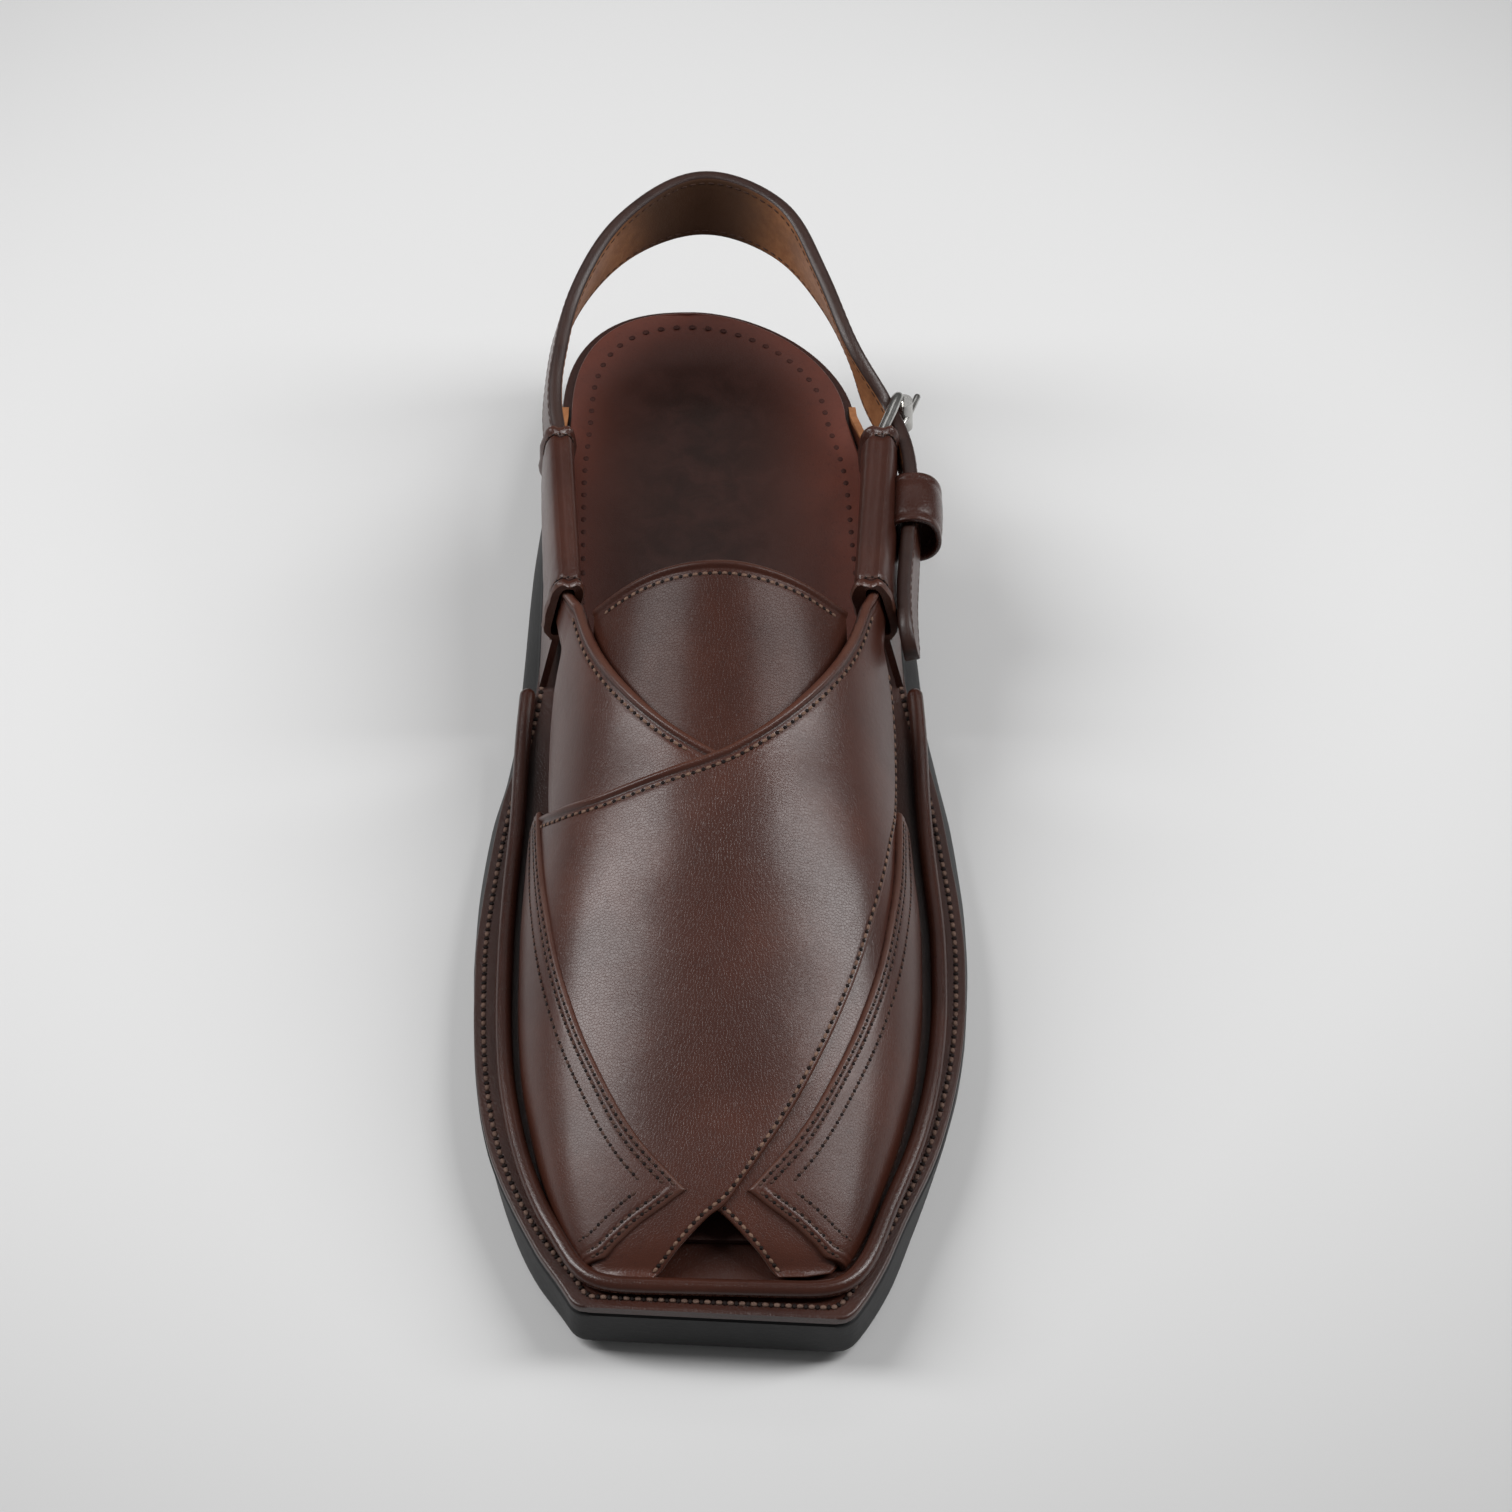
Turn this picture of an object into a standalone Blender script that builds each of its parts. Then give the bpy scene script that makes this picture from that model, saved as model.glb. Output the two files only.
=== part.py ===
"""Peshawari chappal, left shoe, built as its maker puts it together.

The frame: the toe points along -Y, the heel along +Y, +X is the lateral (buckle) side, +Z is up.
The origin is the middle of the heel's tread, on the floor. Lengths are in metres.
"""

import math

import bmesh
import bpy
from mathutils import Vector

MM = 0.001
GAP = 0.3 * MM  # kept between pieces that touch

# sole
SOLE_LENGTH = 284.8 * MM
BALL_WIDTH = 106.4 * MM
HEEL_LENGTH = 76.0 * MM
HEEL_HEIGHT = 13.0 * MM
TOE_SPRING = 3.0 * MM
TOE_SKEW = 2.9 * MM
OUTSOLE_THICK = 11.7 * MM
MIDSOLE_THICK = 2.5 * MM
INSOLE_THICK = 1.8 * MM
INSOLE_TOE_INSET = 1.6 * MM
FLARE = 5.6 * MM
GROOVE_DEPTH = 1.2 * MM
GROOVE_WIDTH = 3.0 * MM
GROOVE_PITCH = 12.5 * MM
FOREFOOT_GROOVES = 5
HEEL_GROOVE_SETBACK = 17.0 * MM

# upper
INSTEP = 54.0 * MM
LEATHER = 2.2 * MM
STRAP_OVERLAP = 1.1 * MM
WING_STAND = 1.0 * MM
TONGUE_THICK = 1.8 * MM
BEAD_RADIUS = 1.9 * MM

# side tabs with their sleeves
SLEEVE_TOP = 58.0 * MM
SLEEVE_LENGTH = 49.8 * MM
SLEEVE_WALL = 1.7 * MM
SLEEVE_REAR_HALF = 38.3 * MM
SLEEVE_FRONT_HALF = 34.4 * MM
SLEEVE_REAR = 29.5 * MM
SLOT_HEIGHT = 16.6 * MM
SLOT_PLAY = 0.4 * MM
TAB_THICK = 1.7 * MM
TAB_HEEL_REACH = 34.0 * MM
EAR_REACH = 9.0 * MM
EAR_HEIGHT = 11.0 * MM

# heel strap, buckle and keeper
SLING_THICK = 3.4 * MM
SLING_WIDTH = 15.4 * MM
SLING_LENGTH = 68.4 * MM
SLING_RISE = 35.5 * MM
SLING_TAIL = 50.0 * MM
SLING_REACH_IN = 24.0 * MM
WIRE_RADIUS = 1.15 * MM
BUCKLE_HEIGHT = 16.0 * MM
BUCKLE_LENGTH = 13.0 * MM
BUCKLE_SET_IN = 5.0 * MM
BUCKLE_SPLAY = 4.4 * MM
PRONG_RADIUS = 0.85 * MM
PRONG_PLAY = 0.45 * MM
BILLET_LENGTH = 28.0 * MM
KEEPER_WIDTH = 13.0 * MM
KEEPER_WALL = 1.3 * MM
KEEPER_SET = 19.5 * MM
KEEPER_BULGE = 1.8 * MM


def table(columns, *rows):
    """Turn rows under named columns into a dictionary of lists."""
    names = columns.split()
    return {name: [row[i] for row in rows] for i, name in enumerate(names)}


# half widths of the welt, as shares of BALL_WIDTH, at shares of SOLE_LENGTH from the heel
OUTLINE = table(
    "share medial lateral",
    (0.135, 0.376, 0.309),
    (0.210, 0.393, 0.354),
    (0.280, 0.402, 0.382),
    (0.350, 0.404, 0.399),
    (0.420, 0.407, 0.408),
    (0.470, 0.424, 0.430),
    (0.520, 0.457, 0.458),
    (0.570, 0.477, 0.477),
    (0.620, 0.491, 0.493),
    (0.668, 0.499, 0.501),
    (0.716, 0.497, 0.498),
    (0.763, 0.490, 0.486),
    (0.809, 0.475, 0.462),
    (0.854, 0.449, 0.429),
    (0.900, 0.414, 0.391),
    (0.943, 0.369, 0.351),
    (0.980, 0.313, 0.300),
    (1.000, 0.284, 0.264),
)
HEEL_ROUND = 0.135
HEEL_APEX = -0.075
HEEL_POWER = {-1: 2.6, 1: 1.8}
HEEL_TURNS = (4, 14, 26, 40, 55, 72)

# the flare of the rubber past the welt, as shares of FLARE
RUBBER = table(
    "share flare",
    (0.00, 0.30),
    (0.14, 0.35),
    (0.24, 0.52),
    (0.34, 0.78),
    (0.45, 1.00),
    (0.57, 0.90),
    (0.66, 0.62),
    (0.74, 0.44),
    (0.82, 0.26),
    (0.90, 0.14),
    (1.00, 0.00),
)

# the underside of the outsole: shares of HEEL_HEIGHT and of TOE_SPRING
TREAD = table(
    "share heel spring",
    (0.00, 1.00, 0.0),
    (0.27, 1.00, 0.0),
    (0.35, 0.72, 0.0),
    (0.45, 0.30, 0.0),
    (0.54, 0.05, 0.0),
    (0.59, 0.00, 0.0),
    (0.84, 0.00, 0.0),
    (0.92, 0.00, 0.35),
    (1.00, 0.00, 1.0),
)

# the feather line of the last, where it meets the insole, as shares of BALL_WIDTH
FEATHER = table(
    "share medial lateral",
    (0.135, 0.357, 0.290),
    (0.210, 0.368, 0.334),
    (0.280, 0.365, 0.346),
    (0.350, 0.363, 0.360),
    (0.420, 0.364, 0.364),
    (0.500, 0.367, 0.367),
    (0.550, 0.371, 0.372),
    (0.600, 0.379, 0.382),
    (0.667, 0.384, 0.393),
    (0.716, 0.383, 0.392),
    (0.780, 0.373, 0.377),
    (0.840, 0.346, 0.343),
    (0.890, 0.312, 0.301),
    (0.930, 0.273, 0.264),
    (0.950, 0.246, 0.238),
    (0.9635, 0.224, 0.216),
)

# the top of the last: height as a share of INSTEP, and how full its section is
CROWN = table(
    "share height fullness",
    (0.380, 1.040, 2.10),
    (0.432, 1.000, 2.10),
    (0.500, 0.911, 2.15),
    (0.550, 0.835, 2.20),
    (0.600, 0.762, 2.25),
    (0.667, 0.655, 2.30),
    (0.716, 0.556, 2.35),
    (0.780, 0.435, 2.40),
    (0.840, 0.326, 2.50),
    (0.890, 0.230, 2.60),
    (0.930, 0.138, 2.70),
    (0.950, 0.078, 2.80),
    (0.9635, 0.012, 2.90),
)
LAST_TOE = 0.9635
INSOLE_TOE = 0.94
BEAD_TURN = 0.945
BEAD_POWER = 2.6

# Edges of the leather on the last. "round" is the place round the last, from -1 at the medial
# feather line over 0 at the crest to 1 at the lateral one, and "share" is along the sole.
# The over strap is given as it lies, from its lateral ear to its medial foot.
STRAP_BACK = table(
    "along round share",
    (0.000, 0.581, 0.4226),
    (0.107, 0.485, 0.4675),
    (0.235, 0.330, 0.5160),
    (0.393, 0.102, 0.5660),
    (0.519, -0.077, 0.5910),
    (0.689, -0.386, 0.6040),
    (0.791, -0.587, 0.5960),
    (0.892, -0.800, 0.5750),
    (1.000, -1.000, 0.5480),
)
STRAP_FRONT = table(
    "along round share",
    (0.000, 0.700, 0.4430),
    (0.057, 0.778, 0.4710),
    (0.113, 0.800, 0.5030),
    (0.178, 0.783, 0.5420),
    (0.245, 0.735, 0.5830),
    (0.323, 0.652, 0.6270),
    (0.462, 0.522, 0.7050),
    (0.586, 0.404, 0.7740),
    (0.731, 0.236, 0.8510),
    (0.846, 0.061, 0.9070),
    (0.899, -0.008, 0.9290),
    (0.939, -0.079, 0.9440),
    (1.000, -0.284, 0.9600),
)
STRAP_FOOT = table(
    "along round share",
    (0.00, -1.000, 0.5480),
    (0.45, -1.000, 0.7400),
    (0.82, -1.000, 0.9350),
    (0.90, -0.850, 0.9600),
    (1.00, -0.284, 0.9600),
)
WING_INNER = table(
    "along round share",
    (0.00, 0.770, 0.5750),
    (0.10, 0.730, 0.6060),
    (0.25, 0.660, 0.6600),
    (0.44, 0.580, 0.7200),
    (0.59, 0.500, 0.7700),
    (0.74, 0.400, 0.8200),
    (0.88, 0.270, 0.8700),
    (1.00, 0.080, 0.9133),
)
WING_OUTER = table(
    "along round share",
    (0.00, 1.000, 0.5700),
    (0.30, 1.000, 0.6900),
    (0.65, 1.000, 0.8300),
    (1.00, 1.000, 0.9500),
)
WING_TOE = table(
    "along round share",
    (0.00, 0.080, 0.9133),
    (0.35, 0.250, 0.9310),
    (0.70, 0.600, 0.9500),
    (1.00, 1.000, 0.9500),
)
TONGUE_TOP = table(
    "round share",
    (-0.600, 0.4290),
    (-0.430, 0.4325),
    (-0.200, 0.4312),
    (0.000, 0.4306),
    (0.200, 0.4330),
    (0.430, 0.4350),
    (0.600, 0.4290),
)
TONGUE_FRONT = 0.63
TONGUE_ROUND = 0.55

# The heel strap from the medial sleeve round the heel to the buckle: across in shares of
# BALL_WIDTH, along in shares of SLING_LENGTH behind the sleeves, rise in shares of SLING_RISE
# over the heel seat, wide in shares of SLING_WIDTH, lean in degrees with the top inwards.
SLING_PATH = table(
    "across along rise wide lean",
    (-0.383, 0.14, 0.620, 1.00, 8.0),
    (-0.381, 0.31, 0.690, 1.00, 11.0),
    (-0.346, 0.60, 0.810, 1.00, 15.0),
    (-0.232, 0.87, 0.950, 1.08, 6.0),
    (-0.051, 1.015, 1.020, 1.18, -9.0),
    (0.128, 0.90, 0.985, 1.12, -6.0),
    (0.233, 0.64, 0.890, 1.00, 10.0),
    (0.304, 0.36, 0.775, 0.84, 15.0),
)
# The tail past the buckle, beside the lateral sleeve: along in shares of SLING_TAIL from the
# sleeve's rear end, stand in shares of SLING_THICK from the sleeve's side, drop in shares of
# SLING_WIDTH below the middle of the slot.
TAIL_PATH = table(
    "along stand drop wide",
    (-0.27, -0.80, -0.03, 0.68),
    (-0.13, 0.02, 0.00, 0.67),
    (0.03, 0.72, 0.00, 0.67),
    (0.20, 1.30, 0.02, 0.68),
    (0.40, 1.42, 0.06, 0.68),
    (0.62, 1.10, 0.12, 0.68),
    (0.85, 0.75, 0.18, 0.66),
    (1.04, 0.80, 0.24, 0.40),
)


def read(data, column, place, key="share"):
    """Read a column at a place, with a smooth curve between its rows that never overshoots."""
    xs = data[key]
    ys = data[column]
    if place <= xs[0]:
        return ys[0]
    if place >= xs[-1]:
        return ys[-1]
    slopes = [(ys[j + 1] - ys[j]) / (xs[j + 1] - xs[j]) for j in range(len(xs) - 1)]

    def tangent(j):
        if j == 0:
            return slopes[0]
        if j == len(xs) - 1:
            return slopes[-1]
        before = slopes[j - 1]
        after = slopes[j]
        return 0.0 if before * after <= 0 else 2 * before * after / (before + after)

    i = max(j for j in range(len(xs) - 1) if xs[j] <= place)
    span = xs[i + 1] - xs[i]
    t = (place - xs[i]) / span
    return (
        (1 + 2 * t) * (1 - t) ** 2 * ys[i]
        + t * (1 - t) ** 2 * span * tangent(i)
        + t * t * (3 - 2 * t) * ys[i + 1]
        + t * t * (t - 1) * span * tangent(i + 1)
    )


def mix(a, b, t):
    return a + (b - a) * t


def ramp(x):
    x = min(max(x, 0.0), 1.0)
    return x * x * (3 - 2 * x)


def side_name(side):
    return "medial" if side < 0 else "lateral"


# the sole


def sole_y(share):
    return HEEL_LENGTH / 2 - SOLE_LENGTH * share


def sole_share(y):
    return (HEEL_LENGTH / 2 - y) / SOLE_LENGTH


def tread_height(share):
    heel = read(TREAD, "heel", share) * HEEL_HEIGHT
    return heel + read(TREAD, "spring", share) * TOE_SPRING


def seat_height(share):
    """The top of the midsole, which the insole, the upper and the tabs stand on."""
    return tread_height(share) + OUTSOLE_THICK + GAP + MIDSOLE_THICK


def edge(widths, side, share, grow, setback=0.0):
    """A point on an outline: the round of the heel by formula, the sides from a table."""
    name = side_name(side)
    if share < HEEL_ROUND:
        wide = side * (widths[name][0] * BALL_WIDTH + grow)
        apex = HEEL_APEX * BALL_WIDTH
        back = 1 - share / HEEL_ROUND
        power = HEEL_POWER[side]
        x = apex + (wide - apex) * (1 - back**power) ** (1 / power)
        y = sole_y(HEEL_ROUND) + back * (HEEL_ROUND * SOLE_LENGTH + grow - setback)
        return x, y
    toe = ramp((share - 0.9) / 0.1)
    x = side * (read(widths, name, share) * BALL_WIDTH + grow)
    y = sole_y(share) - toe * (grow + side * TOE_SKEW / 2)
    return x, y


def heel_shares():
    return [HEEL_ROUND * (1 - math.cos(math.radians(turn))) for turn in HEEL_TURNS]


def spread(start, end, count):
    return [mix(start, end, i / (count - 1)) for i in range(count)]


def grooves(centres):
    """Shares and depths of the four lines that each groove across the tread needs."""
    lines = []
    for centre in centres:
        for step, depth in ((-0.5, 0.0), (-0.35, 1.0), (0.35, 1.0), (0.5, 0.0)):
            lines.append((sole_share(centre - step * GROOVE_WIDTH), depth * GROOVE_DEPTH))
    return lines


def with_grooves(shares, centres):
    """Stations in order, with the grooves' lines in place of the stations they meet."""
    lines = grooves(centres)
    clear = 0.8 * GROOVE_WIDTH / SOLE_LENGTH
    kept = [(s, 0.0) for s in shares if all(abs(s - line[0]) > clear for line in lines)]
    return sorted(kept + lines)


def skin(bm, rings):
    """Join rings of points into one closed body with flat ends."""
    loops = [[bm.verts.new(point) for point in ring] for ring in rings]
    count = len(loops[0])
    for first, second in zip(loops, loops[1:]):
        for i in range(count):
            j = (i + 1) % count
            bm.faces.new((first[i], first[j], second[j], second[i]))
    bm.faces.new(loops[0])
    bm.faces.new(list(reversed(loops[-1])))


def slab_rings(stations, widths, levels, setback=0.0):
    """Rings across the sole. A level is its growth past the outline and its height."""
    rings = []
    for share, depth in stations:
        ring = []
        for side in (-1, 1):
            column = []
            for number, (grow, height) in enumerate(levels):
                x, y = edge(widths, side, share, grow(share), setback)
                z = height(share) + (depth if number == 0 else 0.0)
                column.append((x, y, z))
            ring += column if side < 0 else column[::-1]
        rings.append(ring)
    return rings


def finish(name, bm, finish_name, smooth_angle=35):
    """Make the object of a finished mesh, shaded smooth up to an angle."""
    bmesh.ops.recalc_face_normals(bm, faces=bm.faces)
    mesh = bpy.data.meshes.new(name)
    bm.to_mesh(mesh)
    bm.free()
    mesh.shade_smooth()
    mesh.set_sharp_from_angle(angle=math.radians(smooth_angle))
    mesh.materials.append(MATERIALS[finish_name])
    thing = bpy.data.objects.new(name, mesh)
    bpy.context.scene.collection.objects.link(thing)
    return thing


def make_material(name, color, roughness, metallic=0.0):
    material = bpy.data.materials.new(name)
    material.use_nodes = True
    shader = material.node_tree.nodes["Principled BSDF"]
    shader.inputs["Base Color"].default_value = (*color, 1.0)
    shader.inputs["Roughness"].default_value = roughness
    shader.inputs["Metallic"].default_value = metallic
    return material


def flare(share):
    return read(RUBBER, "flare", share) * FLARE


def no_growth(share):
    return 0.0


def make_heel():
    front = sole_share(-HEEL_LENGTH / 2)
    shares = heel_shares() + spread(HEEL_ROUND, front, 6)
    centres = [sign * HEEL_GROOVE_SETBACK for sign in (-1, 1)]
    stations = with_grooves(shares, centres)
    levels = [(flare, lambda s: 0.0), (flare, lambda s: HEEL_HEIGHT - GAP)]
    bm = bmesh.new()
    skin(bm, slab_rings(stations, OUTLINE, levels))
    return finish("heel_block", bm, "rubber")


def make_outsole():
    shares = heel_shares() + spread(HEEL_ROUND, 1.0, 24)
    ball = -0.5 * SOLE_LENGTH
    half = (FOREFOOT_GROOVES - 1) / 2
    centres = [ball + (i - half) * GROOVE_PITCH for i in range(FOREFOOT_GROOVES)]
    stations = with_grooves(shares, centres)
    lip = 0.3
    levels = [
        (flare, tread_height),
        (lambda s: 0.9 * flare(s), lambda s: tread_height(s) + lip * OUTSOLE_THICK),
        (lambda s: 0.12 * flare(s), lambda s: tread_height(s) + OUTSOLE_THICK),
    ]
    bm = bmesh.new()
    skin(bm, slab_rings(stations, OUTLINE, levels))
    return finish("outsole", bm, "rubber")


def make_midsole():
    shares = heel_shares() + spread(HEEL_ROUND, 1.0, 24)
    stations = [(share, 0.0) for share in shares]
    levels = [
        (no_growth, lambda s: seat_height(s) - MIDSOLE_THICK),
        (no_growth, seat_height),
    ]
    bm = bmesh.new()
    skin(bm, slab_rings(stations, OUTLINE, levels))
    return finish("midsole", bm, "welt")


def make_insole():
    shares = heel_shares() + spread(HEEL_ROUND, INSOLE_TOE, 22)
    stations = [(share, 0.0) for share in shares]

    def inset(share):
        return -1.5 * GAP - INSOLE_TOE_INSET * ramp((share - 0.8) / 0.12)

    levels = [
        (inset, lambda s: seat_height(s) + GAP),
        (inset, lambda s: seat_height(s) + GAP + INSOLE_THICK),
    ]
    bm = bmesh.new()
    rim = (OUTLINE["medial"][0] - FEATHER["medial"][0]) * BALL_WIDTH
    skin(bm, slab_rings(stations, FEATHER, levels, rim))
    return finish("insole", bm, "insole")


# the last, and the leather laid over it


def last_bare(place, share):
    turn = place * math.pi / 2
    name = side_name(place)
    full = 2 / read(CROWN, "fullness", share)
    wide = read(FEATHER, name, share) * BALL_WIDTH
    tall = read(CROWN, "height", share) * INSTEP
    x = math.copysign(wide * abs(math.sin(turn)) ** full, place)
    z = seat_height(share) + GAP + tall * abs(math.cos(turn)) ** full
    return Vector((x, sole_y(share), z))


def last_point(place, share, lift):
    """A point at a height over the last's surface, along its normal."""
    point = last_bare(place, share)
    step = 0.002
    near = min(max(place, -1 + 2 * step), 1 - 2 * step)
    along = min(max(share, CROWN["share"][0] + step), LAST_TOE - 2 * step)
    across = last_bare(near + step, along) - last_bare(near - step, along)
    ahead = last_bare(near, along + step / 2) - last_bare(near, along - step / 2)
    normal = ahead.cross(across).normalized()
    if normal.z < 0 and abs(place) < 0.9:
        normal.negate()
    return point + lift * normal


def on_edge(data, along, side):
    place = side * read(data, "round", along, "along")
    return place, read(data, "share", along, "along")


def patch_place(back, front, foot, start, u, v, side):
    """The place on the last inside four edges: u along the strap, v across it."""
    result = []
    for i in range(2):
        rails = mix(on_edge(back, u, side)[i], on_edge(front, u, side)[i], v)
        end = on_edge(foot, v, side)[i]
        begin = start(v)[i]
        ends = mix(begin, end, u)
        near = mix(on_edge(back, 0, side)[i], on_edge(front, 0, side)[i], v)
        far = mix(on_edge(back, 1, side)[i], on_edge(front, 1, side)[i], v)
        result.append(rails + ends - mix(near, far, u))
    return result


def shell(point, rows, columns, inner, outer):
    """A sheet of leather between two heights over its surface, closed round its edges."""
    bm = bmesh.new()
    grids = []
    for lift in (inner, outer):
        grid = [[bm.verts.new(point(u, v, lift)) for v in columns] for u in rows]
        grids.append(grid)
    low, high = grids
    last_row = len(rows) - 1
    last_column = len(columns) - 1
    for i in range(last_row):
        for j in range(last_column):
            corners = ((i, j), (i + 1, j), (i + 1, j + 1), (i, j + 1))
            bm.faces.new([high[a][b] for a, b in corners])
            bm.faces.new([low[a][b] for a, b in reversed(corners)])
    rim = [(i, 0) for i in range(last_row)]
    rim += [(last_row, j) for j in range(last_column)]
    rim += [(i, last_column) for i in range(last_row, 0, -1)]
    rim += [(0, j) for j in range(last_column, 0, -1)]
    for (a, b), (c, d) in zip(rim, rim[1:] + rim[:1]):
        bm.faces.new((low[a][b], low[c][d], high[c][d], high[a][b]))
    return bm


def tab_centre(side, y, height):
    """The middle of a tab's leather across the shoe, leaning in from its foot to its sleeve."""
    share = sole_share(y)
    along = (-SLEEVE_REAR - y) / SLEEVE_LENGTH
    top = mix(SLEEVE_REAR_HALF, SLEEVE_FRONT_HALF, min(max(along, 0.0), 1.0))
    foot = read(OUTLINE, side_name(side), share) * BALL_WIDTH - TAB_THICK / 2
    drop = (SLEEVE_TOP - height) / (SLEEVE_TOP - seat_height(share))
    return side * mix(top, foot, drop)


def slot_middle():
    return SLEEVE_TOP - SLEEVE_WALL - SLOT_HEIGHT / 2


def slot_lean(side, y):
    """The direction up a sleeve's slot at a place along it."""
    low = tab_centre(side, y, slot_middle() - SLOT_HEIGHT / 2)
    high = tab_centre(side, y, slot_middle() + SLOT_HEIGHT / 2)
    return Vector((high - low, 0, SLOT_HEIGHT)).normalized()


def ear_point(side, depth, v, lift):
    """A point of a strap's ear at a depth inside the sleeve."""
    y = -SLEEVE_REAR - SLEEVE_LENGTH + depth
    z = slot_middle() + EAR_HEIGHT * (0.62 - v)
    lean = slot_lean(side, y)
    out = Vector((lean.z, 0, -lean.x)) * side
    centre = Vector((tab_centre(side, y, z), y, z))
    return centre + out * lift


def strap_point(side, inner, outer):
    """The surface of a crossing strap. Rows below zero run back into the sleeve."""

    def start(v):
        begin = on_edge(STRAP_BACK, 0, side)
        end = on_edge(STRAP_FRONT, 0, side)
        return mix(begin[0], end[0], v), mix(begin[1], end[1], v)

    def point(u, v, lift):
        if u < 0:
            centred = lift - (inner + outer) / 2
            return ear_point(side, EAR_REACH * (-u), v, centred)
        place, share = patch_place(STRAP_BACK, STRAP_FRONT, STRAP_FOOT, start, u, v, side)
        return last_point(place, share, lift)

    return point


def strap_rows(count):
    inside = [-1.0, -0.12]
    return inside + spread(0.0, 1.0, count)


def wing_point(side):
    def start(v):
        begin = on_edge(WING_INNER, 0, side)
        end = on_edge(WING_OUTER, 0, side)
        return mix(begin[0], end[0], v), mix(begin[1], end[1], v)

    def point(u, v, lift):
        place, share = patch_place(WING_INNER, WING_OUTER, WING_TOE, start, u, v, side)
        return last_point(place, share, lift)

    return point


def hide(thing):
    thing.hide_render = True
    thing.display_type = "WIRE"


def make_upper():
    """Two crossing straps and two toe wings, joined where they lie on each other."""
    over_inner = STRAP_OVERLAP
    over_outer = STRAP_OVERLAP + LEATHER
    rows = strap_rows(23)
    columns = spread(0.0, 1.0, 12)
    under = shell(strap_point(-1, 0, LEATHER), rows, columns, 0, LEATHER)
    upper = finish("upper", under, "vamp")
    over = shell(strap_point(1, over_inner, over_outer), rows, columns, over_inner, over_outer)
    wing_rows = spread(0.0, 1.0, 18)
    wing_columns = spread(0.0, 1.0, 8)
    on_over = (over_inner + over_outer) / 2
    wing_medial = shell(wing_point(-1), wing_rows, wing_columns, on_over, over_outer + WING_STAND)
    on_under = LEATHER / 2
    wing_top = over_outer + WING_STAND / 2
    wing_lateral = shell(wing_point(1), wing_rows, wing_columns, on_under, wing_top)
    for name, body in (
        ("over_strap", over),
        ("wing_medial", wing_medial),
        ("wing_lateral", wing_lateral),
    ):
        piece = finish(name, body, "vamp")
        hide(piece)
        join = upper.modifiers.new(name, "BOOLEAN")
        join.operation = "UNION"
        join.solver = "EXACT"
        join.object = piece
    return upper


def make_tongue():
    def point(u, v, lift):
        place = mix(-TONGUE_ROUND, TONGUE_ROUND, v)
        top = read(TONGUE_TOP, "share", place, "round")
        return last_point(place, mix(top, TONGUE_FRONT, u), lift)

    outer = -2.5 * GAP
    bm = shell(point, spread(0, 1, 12), spread(0, 1, 19), outer - TONGUE_THICK, outer)
    return finish("tongue", bm, "vamp")


def bead_path():
    """The middle of the bead: along one side, round the toe and back along the other."""
    clear = STRAP_OVERLAP + LEATHER + WING_STAND + GAP + BEAD_RADIUS
    front = sole_share(sole_y(LAST_TOE) - clear)

    def on_welt(x, share):
        return Vector((x, sole_y(share), seat_height(share) + GAP + BEAD_RADIUS))

    columns = []
    for side in (-1, 1):
        name = side_name(side)
        column = []
        for share in spread(0.425, BEAD_TURN, 20):
            wide = read(FEATHER, name, share) * BALL_WIDTH + clear
            column.append(on_welt(side * wide, share))
        for turn in range(15, 90, 15):
            across = math.cos(math.radians(turn)) ** (2 / BEAD_POWER)
            along = math.sin(math.radians(turn)) ** (2 / BEAD_POWER)
            column.append(on_welt(side * wide * across, mix(BEAD_TURN, front, along)))
        columns.append(column)
    medial, lateral = columns
    return medial + [on_welt(0.0, front)] + lateral[::-1]


def tube(name, points, radius, finish_name, cyclic=False, sides=2):
    """A round bar along points, with closed ends unless it runs round."""
    curve = bpy.data.curves.new(name, "CURVE")
    curve.dimensions = "3D"
    curve.bevel_depth = radius
    curve.bevel_resolution = sides
    curve.use_fill_caps = not cyclic
    spline = curve.splines.new("POLY")
    spline.points.add(len(points) - 1)
    for target, point in zip(spline.points, points):
        target.co = (*point, 1.0)
    spline.use_cyclic_u = cyclic
    spline.use_smooth = True
    curve.materials.append(MATERIALS[finish_name])
    thing = bpy.data.objects.new(name, curve)
    bpy.context.scene.collection.objects.link(thing)
    return thing


def make_bead():
    return tube("bead", bead_path(), BEAD_RADIUS, "welt")


# the side tabs


def tab_section():
    """Half a tab's outline from its foot up: half width, rise over the web or the sleeve."""
    web = TAB_THICK / 2
    sleeve = (SLING_THICK + SLOT_PLAY) / 2 + SLEEVE_WALL
    low = SLEEVE_TOP - 2 * SLEEVE_WALL - SLOT_HEIGHT
    return [
        (web, 0.0, None),
        (web, 0.5, None),
        (web, 1.0, None),
        (sleeve, None, low + SLEEVE_WALL * 1.6),
        (sleeve, None, slot_middle()),
        (sleeve, None, SLEEVE_TOP - 0.9 * sleeve),
        (0.72 * sleeve, None, SLEEVE_TOP - 0.27 * sleeve),
    ]


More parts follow.
